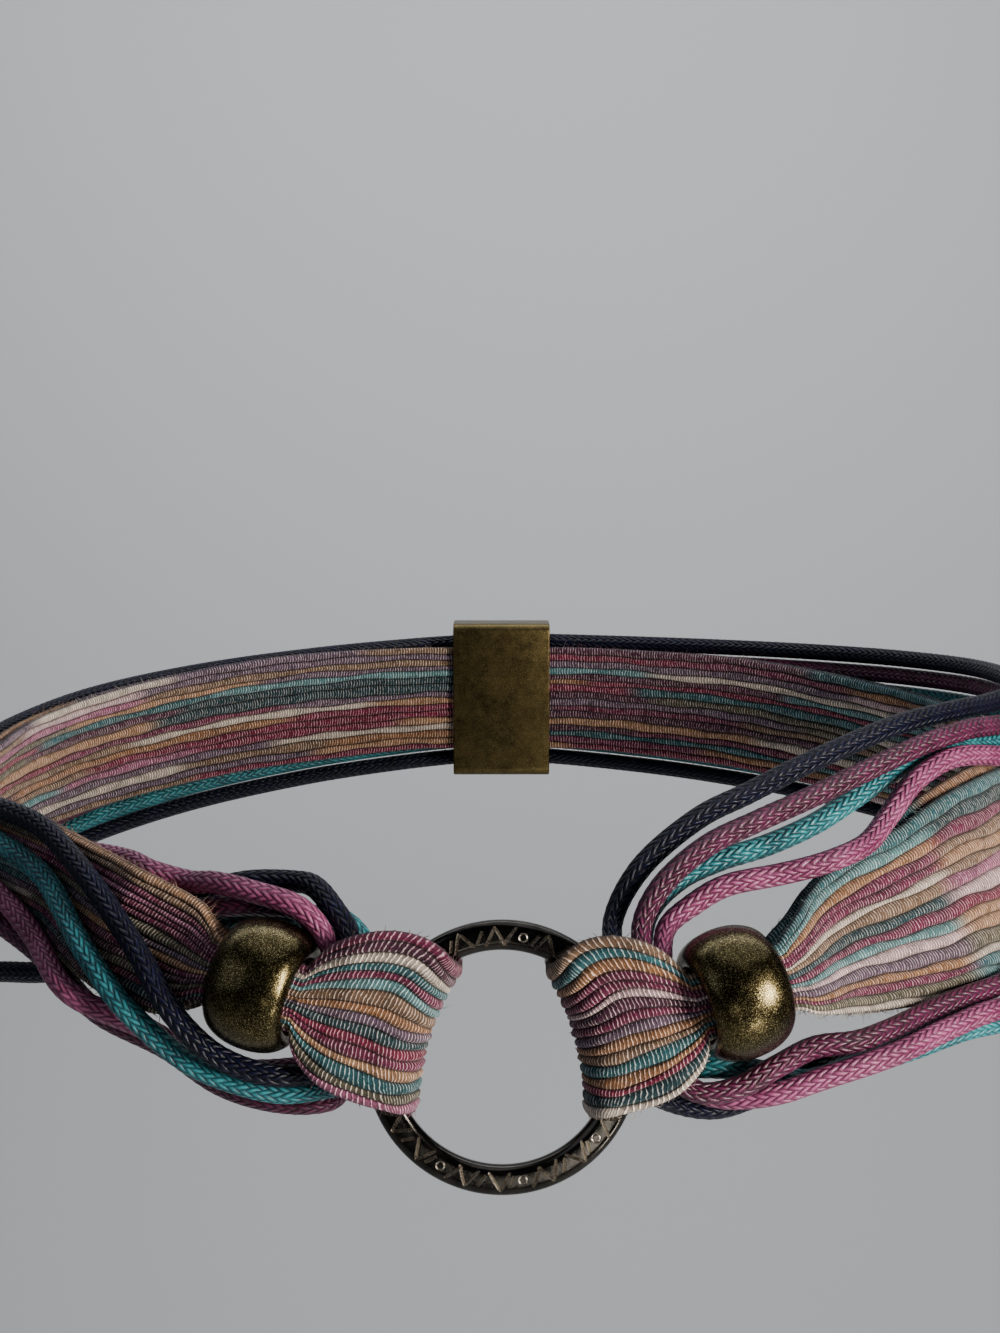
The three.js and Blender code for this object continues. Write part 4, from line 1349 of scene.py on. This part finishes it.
    def yarn_colours(self, along: np.ndarray, bead_at: tuple[float, float]) -> np.ndarray:
        """Each yarn's colour along the strip: the fan's, the loop's between the beads, and dyed lengths.

        Args:
            along: Length along the strip at each station.
            bead_at: The two lengths at which the strip passes the bead.

        Returns:
            Station by sample colours.
        """
        rng = np.random.default_rng(self.seed + self.dye_seed)
        palette = list(Yarn)
        out = np.ones((len(along), len(self.ribs), 4))
        for k, rib in enumerate(reversed(self.ribs)):
            marks = [(bead_at[0] - self.cast, rib.fan), (bead_at[0], rib.loop), (bead_at[1], rib.fan)]
            place, yarn = marks[0][0], rib.fan
            while place > 0:
                place -= rng.uniform(*self.dyed_lengths)
                yarn = palette[rng.integers(len(palette))]
                marks.insert(0, (place, yarn))
            marks[0] = (-PAST_END, yarn)
            place = bead_at[1] + self.cast
            while place < along[-1]:
                marks.append((place, palette[rng.integers(len(palette))]))
                place += rng.uniform(*self.dyed_lengths)
            knots, colours = [], []
            for (start, yarn), (end, _) in zip(marks, marks[1:] + [(along[-1] + PAST_END, None)]):
                knots += [start + self.dye_overlap, end - self.dye_overlap]
                colours += [linear(yarn.value)] * 2
            colours = np.array(colours)
            for channel in range(3):
                out[:, k, channel] = np.interp(along, knots, colours[:, channel])
        tone = smooth_noise(rng, along, len(self.ribs), self.dye_waves)[..., None]
        out[..., :3] *= 1 + self.dye_tone * tone
        return out[:, self.rib_of]

    def build(self) -> bpy.types.Object:
        """Makes and dresses the strip.

        Returns:
            The piece.
        """
        stations = self.stations()
        count = len(stations)
        flat = self.weave(np.zeros(count), np.zeros(count))
        smooth = self.rings(Weave(flat.shares, flat.relief * 0))
        middle = self.face_count // 2
        along = distances(smooth[:, middle])
        width = np.linalg.norm(smooth[:, 0] - smooth[:, self.face_count - 1], axis=1)
        rings = self.rings(self.weave(width, along))
        beads = [i for i, s in enumerate(stations) if s[0] == "layer" and abs(s[1] - 0.5) < 0.1]
        colours = self.yarn_colours(along, (along[beads[0]], along[beads[-1]]))
        # crest is high on each rib's top and low at its edges; the cloth paints its valley shade from it.
        crest = np.broadcast_to(np.sqrt(1 - self.bow**2 * self.crest_roundness), rings.shape[:2])
        length = float(along[-1])
        name = f"woven_strip_{self.hand.label}"
        across = (flat.shares[0] + 1) / 2
        phase = np.random.default_rng(self.seed + self.phase_seed).uniform(0, 1, len(self.ribs))[self.rib_of]
        phase = np.broadcast_to(phase, rings.shape[:2])
        piece = tube_object(
            name,
            rings,
            np.append(across, across[0]),
            along / length,
            {"yarn": colours, "crest": crest[..., None], "phase": phase[..., None]},
        )
        cloth = ClothFinish(length).material(f"cloth_{self.hand.label}")
        piece.data.materials.append(cloth)
        declare(piece, "belt", f"woven_band_{self.hand.label}", "woven_band")
        fray = self.fray(rings, colours)
        fray.data.materials.append(cloth)
        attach(fray, "belt")
        f"bead_{self.hand.label}"
        log.info("%s: %.0f mm long, %d rings", name, length, len(rings))
        return piece

    def fray(self, rings: np.ndarray, colours: np.ndarray) -> bpy.types.Object:
        """Loose fibres that stand out of the strip's edges, and a few out of its face.

        Args:
            rings: The strip's rings.
            colours: The yarn colour of each point.

        Returns:
            One mesh of all the fibres.
        """
        rng = np.random.default_rng(self.seed + self.fray_seed)
        fibres = Fibres(rng, rings, colours)
        last = self.face_count - 1
        for edge, outward in ((0, -1.0), (last, 1.0)):
            for k in range(2, len(rings) - 2):
                if rng.random() <= self.edge_fibre_share:
                    fibres.add(k, edge, outward)
        for _ in range(self.face_fibres):
            k = int(rng.integers(2, len(rings) - 2))
            i = int(rng.integers(self.fibre_margin, last - self.fibre_margin))
            fibres.add(k, i, 0.0)
        return fibres.build(f"frayed_fibres_{self.hand.label}")


@dataclass
class BraidedCord:
    """One cord: from the sleeve along its upper leg, through the cloth's loop and back below."""

    hand: Hand
    colour: CordColour
    route: CordRoute
    slots: tuple[tuple[CordColour, str], ...]
    diameter: float = 5.5
    squeeze: float = 0.78
    near_loop: float = 0.9
    step: float = 0.75
    curve_steps: int = 60
    cells: int = 12
    cell_length: float = 2.7
    relief: float = 0.05
    slot_pitch: float = 5.8
    sleeve_height: float = 80.0
    sleeve_lift: float = 12.6
    tail_turns: tuple[float, ...] = (100, 118, 136, 154, 168, CLASP_TURN)

    def leg(self, rows: tuple[tuple[float, float, float], ...], end: str) -> tuple[np.ndarray, np.ndarray]:
        """One leg's points from the loop to the sleeve, and the cord's size at each.

        Args:
            rows: The leg's chosen rows.
            end: Upper or lower, which gives its slot in the sleeve.

        Returns:
            Points and sizes.
        """
        slot = self.slots.index((self.colour, end))
        goal = self.sleeve_height + self.slot_pitch * ((len(self.slots) - 1) / 2 - slot)
        turn, height, lift = rows[-1]
        tail = []
        for at in self.tail_turns:
            share = (at - turn) / (CLASP_TURN - turn)
            eased = share * (1.6 - 0.6 * share)
            tail.append((at, height + (goal - height) * eased, lift + (self.sleeve_lift - lift) * share**2))
        points = WAIST.point(*np.array([*rows, *tail]).T)
        sizes = np.ones(len(points))
        sizes[0] = self.near_loop
        return points, sizes

    def route_points(self) -> tuple[np.ndarray, np.ndarray]:
        """All the chosen points in order, mirrored for the left hand.

        Returns:
            The points, and the cord's size at each.
        """
        upper, upper_size = self.leg(self.route.upper, "upper")
        lower, lower_size = self.leg(self.route.lower, "lower")
        loop = np.array([(x, RING.across - ahead, z + WAIST.ring_level) for x, z, ahead in self.route.loop])
        points = np.concatenate([upper[::-1], loop, lower])
        points[:, 0] *= self.hand.value
        sizes = np.concatenate([upper_size[::-1], np.full(len(loop), self.squeeze), lower_size])
        return points, sizes

    def path(self) -> tuple[np.ndarray, np.ndarray]:
        """The cord's centre line, one smooth curve through all the chosen points.

        Returns:
            Points at equal steps, and the cord's size at each.
        """
        points, sizes = self.route_points()
        padded = np.concatenate([[2 * points[0] - points[1]], points, [2 * points[-1] - points[-2]]])
        spans = len(points) - 1
        t = np.linspace(0, spans, spans * self.curve_steps + 1)
        i = np.minimum(t.astype(int), spans - 1)
        f = (t - i)[:, None]
        p0, p1, p2, p3 = (padded[i + k] for k in range(4))
        d0, d1, d2 = (
            np.sqrt(np.linalg.norm(b - a, axis=1))[:, None] for a, b in ((p0, p1), (p1, p2), (p2, p3))
        )
        m1 = ((p1 - p0) / d0 - (p2 - p0) / (d0 + d1) + (p2 - p1) / d1) * d1
        m2 = ((p2 - p1) / d1 - (p3 - p1) / (d1 + d2) + (p3 - p2) / d2) * d1
        curve = p1 + m1 * f + (3 * (p2 - p1) - 2 * m1 - m2) * f**2 + (2 * (p1 - p2) + m1 + m2) * f**3
        size = sizes[i] * (1 - f[:, 0]) + sizes[i + 1] * f[:, 0]
        length = distances(curve)
        even = np.linspace(0, length[-1], round(length[-1] / self.step) + 1)
        centre = np.stack([np.interp(even, length, curve[:, k]) for k in range(3)], axis=1)
        return centre, np.interp(even, length, size)

    def build(self) -> bpy.types.Object:
        """Makes and dresses the cord.

        Returns:
            The piece.
        """
        centre, size = self.path()
        length = float(np.linalg.norm(np.diff(centre, axis=0), axis=1).sum())
        along = np.linspace(0, 1, len(centre))
        heading = unit(np.gradient(centre, axis=0))
        side = np.empty_like(centre)
        now = np.array([0.0, 0.0, 1.0])
        for k, run in enumerate(heading):
            now = now - run * np.dot(now, run)
            now /= np.linalg.norm(now)
            side[k] = now
        other = np.cross(heading, side)
        around = 2 * self.cells
        angle = 2 * np.pi * np.arange(around) / around
        wave = -np.cos(self.cells * angle)[None] * np.cos(
            2 * np.pi * along * length / self.cell_length
        )[:, None]
        radius = (self.diameter / 2 - self.relief) * size[:, None] + self.relief * wave
        rings = centre[:, None] + radius[..., None] * (
            side[:, None] * np.cos(angle)[None, :, None] + other[:, None] * np.sin(angle)[None, :, None]
        )
        node = f"cord_{self.colour.label}_{self.hand.label}"
        name = f"braid_{self.colour.label}_{self.hand.label}"
        piece = tube_object(name, rings, np.arange(around + 1) / around, along, {})
        braid = BraidFinish(self.colour, length, self.cells, self.cell_length).material(name)
        piece.data.materials.append(braid)
        declare(piece, "belt", node, f"cord_{self.colour.label}")
        (rings.mean(axis=1) * MM).tolist()
        log.info("%s: %.0f mm", node, length)
        return piece


def deselect() -> None:
    """Clears the selection, so that an operator acts on the new piece alone."""
    bpy.ops.object.select_all(action="DESELECT")


def pick(pieces: list[bpy.types.Object]) -> None:
    """Selects some pieces alone, with the first one active.

    Args:
        pieces: The pieces.
    """
    deselect()
    for piece in pieces:
        piece.select_set(True)
    bpy.context.view_layer.objects.active = pieces[0]


def stretch_section(wide: float, tall: float, middle: tuple[float, float, float]) -> None:
    """Opens the new flat section for editing and stretches it to its size.

    Args:
        wide: Its width, in metres.
        tall: Its height, in metres.
        middle: Its middle, in metres.
    """
    bpy.ops.object.mode_set(mode="EDIT")
    bpy.ops.mesh.select_all(action="SELECT")
    bpy.ops.transform.resize(value=(wide, tall, 1), center_override=middle)


def turn_out(piece: bpy.types.Object, close: bool = False) -> None:
    """Makes a piece's faces point out.

    Args:
        piece: The piece.
        close: Whether to delete the section's own flat face too, which a full spin leaves inside.
    """
    pick([piece])
    bpy.ops.object.mode_set(mode="EDIT")
    if close:
        bpy.ops.mesh.select_mode(type="FACE")
        bpy.ops.mesh.select_all(action="DESELECT")
        bpy.ops.mesh.select_face_by_sides(number=4, type="GREATER")
        bpy.ops.mesh.delete(type="FACE")
        bpy.ops.mesh.select_mode(type="VERT")
    bpy.ops.mesh.select_all(action="SELECT")
    bpy.ops.mesh.normals_make_consistent(inside=False)
    bpy.ops.object.mode_set(mode="OBJECT")


def spin_round(piece: bpy.types.Object, turns: int) -> None:
    """Spins the section that is being edited once round Y, into a closed solid.

    Args:
        piece: The piece.
        turns: How many steps the spin takes.
    """
    bpy.ops.mesh.spin(steps=turns, angle=2 * math.pi, center=(0, 0, 0), axis=(0, 1, 0), use_auto_merge=True)
    bpy.ops.mesh.select_all(action="SELECT")
    bpy.ops.mesh.remove_doubles(threshold=MERGE)
    bpy.ops.object.mode_set(mode="OBJECT")
    turn_out(piece, close=True)


def add_modifier(piece: bpy.types.Object, kind: str, **settings: Any) -> None:
    """Adds a modifier to a piece and applies it.

    Args:
        piece: The piece.
        kind: The modifier's type.
        settings: Its properties.
    """
    modifier = piece.modifiers.new(kind.lower(), kind)
    for name, value in settings.items():
        setattr(modifier, name, value)
    bpy.context.view_layer.objects.active = piece
    bpy.ops.object.modifier_apply(modifier=modifier.name)


def settle(piece: bpy.types.Object, name: str, place: Matrix) -> None:
    """Names a piece and puts its place into its mesh, with its object at the origin.

    Args:
        piece: The piece, modelled round its own origin.
        name: Its name.
        place: Its place in the row frame.
    """
    piece.name = piece.data.name = name
    piece.data.transform(place @ piece.matrix_world)
    piece.matrix_world = Matrix.Identity(4)


def place_matrix(x: np.ndarray, y: np.ndarray, z: np.ndarray, at: np.ndarray) -> Matrix:
    """A placing matrix from three axes and a point in millimetres, in metres.

    Args:
        x: Where the piece's X goes.
        y: Where its Y goes.
        z: Where its Z goes.
        at: Where its origin goes, in millimetres.

    Returns:
        The matrix, in metres.
    """
    columns = [Vector(v) for v in (x, y, z)]
    rows = [[column[r] for column in columns] + [at[r] * MM] for r in range(3)]
    return Matrix([*rows, [0, 0, 0, 1]])


@dataclass
class CentreRing:
    """The front ring: a flattened wire, engraved with slanted strokes and small round dots."""

    size: RingSize = RING
    round_edge: float = 2.15
    turns: int = 168
    stroke_width: float = 0.42
    stroke_reach: float = 1.9
    dot_radius: float = 0.95
    dot_wire: float = 0.24
    sectors: int = 9
    smooth_angle: float = 32.0
    strokes: tuple[tuple[float, float, float], ...] = (
        (6.5, -34, 5.2), (11.0, 30, 5.2), (15.5, -30, 5.2), (20.5, -30, 3.4), (26.5, 34, 5.2),
        (31.5, -28, 5.2), (34.5, -28, 3.0),
    )

    def wire(self) -> bpy.types.Object:
        """Makes the plain ring: a rounded section spun once round Y.

        Returns:
            The ring, round its own origin.
        """
        deselect()
        bpy.ops.mesh.primitive_plane_add(size=1, location=(self.size.middle * MM, 0, 0))
        ring = bpy.context.object
        stretch_section(self.size.wire * MM, self.size.depth * MM, (self.size.middle * MM, 0, 0))
        bpy.ops.mesh.bevel(
            offset=self.round_edge * MM, segments=7, affect="VERTICES", offset_type="OFFSET", profile=0.5
        )
        spin_round(ring, self.turns)
        return ring

    def on_face(self, angle: float) -> Matrix:
        """The place on the ring's front face at an angle round it, in degrees."""
        turn = Matrix.Rotation(math.radians(-angle), 4, "Y")
        return turn @ Matrix.Translation((self.size.middle * MM, -self.size.depth / 2 * MM, 0))

    def stroke(self, angle: float, lean: float, length: float) -> bpy.types.Object:
        """One engraved stroke's cutter, a bar sharpened to a V.

        Args:
            angle: Its place round the ring in degrees.
            lean: Its lean off the radius in degrees.
            length: Its length.

        Returns:
            The cutter.
        """
        deselect()
        bpy.ops.mesh.primitive_cube_add(size=1)
        bar = bpy.context.object
        side = self.stroke_width / math.sqrt(2) * MM * self.stroke_reach
        spin = Matrix.Rotation(math.radians(45), 4, "X")
        stretch = Matrix.Diagonal((length * MM, side, side, 1))
        tilt = Matrix.Rotation(math.radians(-lean), 4, "Y")
        bar.data.transform(self.on_face(angle) @ tilt @ spin @ stretch)
        return bar

    def dot(self, angle: float) -> bpy.types.Object:
        """One punched dot's cutter, a small ring.

        Args:
            angle: Its place round the ring in degrees.

        Returns:
            The cutter.
        """
        deselect()
        bpy.ops.mesh.primitive_torus_add(
            major_radius=self.dot_radius * MM,
            minor_radius=self.dot_wire * MM,
            major_segments=20,
            minor_segments=8,
        )
        rim = bpy.context.object
        rim.data.transform(self.on_face(angle) @ Matrix.Rotation(math.radians(90), 4, "X"))
        return rim

    def build(self) -> bpy.types.Object:
        """Makes, engraves and dresses the ring.

        Returns:
            The piece.
        """
        ring = self.wire()
        cutters = []
        for sector in range(self.sectors):
            first = 360 / self.sectors * sector
            cutters.append(self.dot(first))
            cutters += [self.stroke(first + at, lean, length) for at, lean, length in self.strokes]
        pick(cutters)
        bpy.ops.object.join()
        cutters[0].data.materials.append(GROOVE_BRONZE.material("worn_engraving"))
        ring.data.materials.append(RING_BRONZE.material("dark_bronze"))
        deselect()
        add_modifier(
            ring,
            "BOOLEAN",
            operation="DIFFERENCE",
            solver="EXACT",
            material_mode="TRANSFER",
            object=cutters[0],
            use_self=True,
        )
        bpy.data.objects.remove(cutters[0])
        pick([ring])
        bpy.ops.object.shade_smooth_by_angle(angle=math.radians(self.smooth_angle))
        settle(ring, "engraved_ring", Matrix.Translation((0, self.size.across * MM, WAIST.ring_level * MM)))
        declare(ring, "ring", "ring", "ring")
        log.info("engraved_ring: %d faces", len(ring.data.polygons))
        return ring


@dataclass
class BarrelBead:
    """One barrel bead: a thick turned wall with a full round outside."""

    hand: Hand
    bead: BeadPlace
    lip: float = 1.3
    turns: int = 180
    section_points: int = 56
    unevenness: float = 0.22
    cloud_size: float = 6.0

    def build(self) -> bpy.types.Object:
        """Makes and dresses the bead.

        Returns:
            The piece.
        """
        hole, middle = self.bead.hole / 2 * MM, (self.bead.hole / 2 + self.lip) * MM
        wall = self.bead.diameter / 2 * MM - middle
        deselect()
        bpy.ops.mesh.primitive_circle_add(
            vertices=self.section_points, radius=1, fill_type="NGON", location=(middle, 0, 0)
        )
        bead = bpy.context.object
        stretch_section(wall, self.bead.length / 2 * MM, (middle, 0, 0))
        bpy.ops.mesh.bisect(plane_co=(hole, 0, 0), plane_no=(1, 0, 0), use_fill=False, clear_inner=True)
        bpy.ops.mesh.select_all(action="SELECT")
        spin_round(bead, self.turns)
        across, axis, out = self.bead.axes()
        at = self.bead.middle()
        mirror = np.array([self.hand.value, 1, 1])
        place = place_matrix(across * mirror, axis * mirror, out * mirror, at * mirror)
        name = f"barrel_bead_{self.hand.label}"
        settle(bead, name, place)
        clouds = bpy.data.textures.new("casting", "CLOUDS")
        clouds.noise_scale = self.cloud_size * MM
        add_modifier(
            bead,
            "DISPLACE",
            texture=clouds,
            texture_coords="LOCAL",
            strength=self.unevenness * MM,
            mid_level=0.5,
        )
        if self.hand is Hand.LEFT:
            turn_out(bead)
        bead.data.polygons.foreach_set("use_smooth", [True] * len(bead.data.polygons))
        bead.data.materials.append(BEAD_BRONZE.material(f"antique_bronze_{self.hand.label}"))
        declare(bead, "belt", f"bead_{self.hand.label}", "bead")
        log.info("%s: %d faces", name, len(bead.data.polygons))
        return bead


@dataclass
class BackSleeve:
    """The plain flat sleeve that holds every end at the back."""

    turn: float = 180.0
    height: float = 80.0
    length: float = 34.0
    tall: float = 54.0
    wall: float = 1.5
    inside: float = 1.1
    outside: float = 16.2
    corner: float = 3.0
    edge_round: float = 0.45
    smooth_angle: float = 35.0

    def build(self) -> bpy.types.Object:
        """Makes and dresses the sleeve.

        Returns:
            The piece.
        """
        thick = (self.outside - self.inside) + 2 * self.wall
        deselect()
        bpy.ops.mesh.primitive_plane_add(size=1, location=(0, 0, -self.length / 2 * MM))
        sleeve = bpy.context.object
        stretch_section(thick * MM, self.tall * MM, (0, 0, -self.length / 2 * MM))
        bpy.ops.mesh.bevel(
            offset=self.corner * MM, segments=8, affect="VERTICES", offset_type="OFFSET", profile=0.5
        )
        bpy.ops.mesh.delete(type="ONLY_FACE")
        bpy.ops.mesh.select_all(action="SELECT")
        bpy.ops.mesh.select_mode(type="EDGE")
        bpy.ops.mesh.extrude_region_move(
            TRANSFORM_OT_translate={"value": (0, 0, self.length * MM), "orient_type": "GLOBAL"}
        )
        bpy.ops.mesh.select_all(action="SELECT")
        bpy.ops.mesh.normals_make_consistent(inside=False)
        bpy.ops.object.mode_set(mode="OBJECT")
        add_modifier(sleeve, "SOLIDIFY", thickness=self.wall * MM, offset=-1, use_even_offset=True)
        add_modifier(sleeve, "BEVEL", width=self.edge_round * MM, segments=3, limit_method="ANGLE")
        along, up, out, _ = WAIST.frame(self.turn, self.height, 0)
        at = WAIST.point(self.turn, self.height, (self.inside + self.outside) / 2)
        settle(sleeve, "closing_sleeve", place_matrix(out, up, -along, at))
        pick([sleeve])
        bpy.ops.object.shade_smooth_by_angle(angle=math.radians(self.smooth_angle))
        sleeve.data.materials.append(SLEEVE_BRONZE.material("antique_bronze_sleeve"))
        declare(sleeve, "belt", "back_sleeve", "sleeve")
        log.info("closing_sleeve: %d faces", len(sleeve.data.polygons))
        return sleeve


FRONT = (0.0, -0.1, -0.07)
# Each light's name, place, aim, width and height, power in watts and colour.
LAMPS = (
    ("key_right", (0.85, -0.75, 0.0), FRONT, (0.17, 0.46), 24.0, "#fff6ec"),
    ("glint_low", (0.42, -0.5, -0.5), FRONT, (0.1, 0.1), 0.9, "#fffaf0"),
    ("glint_ring", (0.07, -0.75, -0.28), FRONT, (0.09, 0.09), 0.18, "#fffaf2"),
    ("fill_left", (-0.9, -0.8, 0.4), FRONT, (0.9, 0.9), 1.6, "#eaf1ff"),
    ("top_soft", (0.15, -0.1, 1.1), (0, 0, 0), (1.2, 1.2), 4.2, "#f6f8ff"),
    ("backdrop_wash", (0.0, 0.35, 0.9), (0, 1.3, 0.1), (1.6, 0.8), 15.0, "#f3f5f8"),
)


@dataclass
class Studio:
    """The camera at the photograph's angle, a pale floor and backdrop, and soft lights."""

    eye: tuple[float, float, float] = (-0.0005, -0.5616, 0.0109)
    photo_height: float = 1333.0
    focal_pixels: float = 1890.6
    sensor: float = 36.0
    floor_level: float = -0.75
    world_strength: float = 0.1

    def camera(self) -> None:
        """Sets the camera level, looking along +Y."""
        data = bpy.data.cameras.new("photo_camera")
        data.sensor_fit = "VERTICAL"
        data.sensor_height = self.sensor
        data.lens = self.focal_pixels / self.photo_height * self.sensor
        data.clip_start = 0.01
        camera = linked("photo_camera", data)
        camera.location = self.eye
        camera.rotation_euler = (math.pi / 2, 0, 0)
        bpy.context.scene.camera = camera

    def light(
        self,
        name: str,
        at: tuple[float, float, float],
        aim: tuple[float, float, float],
        size: tuple[float, float],
        power: float,
        colour: str,
    ) -> None:
        """Adds one soft rectangular light.

        Args:
            name: Its name.
            at: Its place.
            aim: The point that it looks at.
            size: Its width and height.
            power: Its power in watts.
            colour: Its colour.
        """
        data = bpy.data.lights.new(name, "AREA")
        data.shape = "RECTANGLE"
        data.size, data.size_y = size
        data.energy = power
        data.color = linear(colour)
        lamp = linked(name, data)
        lamp.location = at
        lamp.rotation_euler = (Vector(aim) - Vector(at)).to_track_quat("-Z", "Y").to_euler()

    def sweep(self) -> None:
        """Adds the floor, which curves up into the backdrop."""
        near, far, high, bend, wide, steps = -2.0, 1.3, 2.2, 0.5, 3.0, 12
        outline = [(near, 0.0), (far - bend, 0.0)]
        for n in range(1, steps + 1):
            angle = math.pi / 2 * n / steps
            outline.append((far - bend + bend * math.sin(angle), bend - bend * math.cos(angle)))
        outline.append((far, high))
        points = [(x, y, z + self.floor_level) for y, z in outline for x in (-wide, wide)]
        faces = [(2 * k, 2 * k + 1, 2 * k + 3, 2 * k + 2) for k in range(len(outline) - 1)]
        mesh = bpy.data.meshes.new("floor_sweep")
        mesh.from_pydata(points, [], faces)
        mesh.polygons.foreach_set("use_smooth", [True] * len(faces))
        floor = linked("floor_sweep", mesh)
        matt = {"Roughness": 0.9, "Base Color": rgba("#b6b9bc"), "Specular IOR Level": 0.2}
        mesh.materials.append(Paint("pale_floor", matt).material)

    def build(self) -> None:
        """Sets the whole studio."""
        self.sweep()
        for lamp in LAMPS:
            self.light(*lamp)
        world = bpy.data.worlds.new("soft_room")
        world.use_nodes = True
        inputs = world.node_tree.nodes["Background"].inputs
        inputs["Color"].default_value = rgba("#aeb6c2")
        inputs["Strength"].default_value = self.world_strength
        bpy.context.scene.world = world


RIGHT_BEAD = BeadPlace(turn=18.0, height=15.3, tilt=16.0)
LEFT_BEAD = BeadPlace(turn=18.6, height=17.1, tilt=15.0)
RIGHT_LOOP = LoopPlace(middle=15.6)
LEFT_LOOP = LoopPlace(middle=18.0)
# The order of the cord ends in the sleeve, from the top.
RIGHT_SLOTS = (
    (CordColour.NAVY, "upper"), (CordColour.MAGENTA, "upper"), (CordColour.TEAL, "upper"),
    (CordColour.PINK, "upper"), (CordColour.MAGENTA, "lower"), (CordColour.PINK, "lower"),
    (CordColour.TEAL, "lower"), (CordColour.NAVY, "lower"),
)
LEFT_SLOTS = (
    (CordColour.NAVY, "lower"), (CordColour.TEAL, "lower"), (CordColour.PINK, "lower"),
    (CordColour.MAGENTA, "lower"), (CordColour.PINK, "upper"), (CordColour.MAGENTA, "upper"),
    (CordColour.TEAL, "upper"), (CordColour.NAVY, "upper"),
)


def main() -> None:
    """Builds the belt and the studio round it, in order."""
    studio = Studio()
    studio.camera()
    for hand, routes, slots in (
        (Hand.RIGHT, RIGHT_ROUTES, RIGHT_SLOTS),
        (Hand.LEFT, LEFT_ROUTES, LEFT_SLOTS),
    ):
        for colour, route in routes.items():
            BraidedCord(hand, colour, route, slots).build()
    WovenBand(Hand.RIGHT, RIGHT_OUTER, RIGHT_INNER, RIGHT_BEAD, RIGHT_LOOP, RIGHT_RIBS, seed=11).build()
    WovenBand(Hand.LEFT, LEFT_OUTER, LEFT_INNER, LEFT_BEAD, LEFT_LOOP, LEFT_RIBS, seed=29).build()
    CentreRing().build()
    BarrelBead(Hand.RIGHT, RIGHT_BEAD).build()
    BarrelBead(Hand.LEFT, LEFT_BEAD).build()
    BackSleeve().build()
    studio.build()


if __name__ == "__main__":
    main()
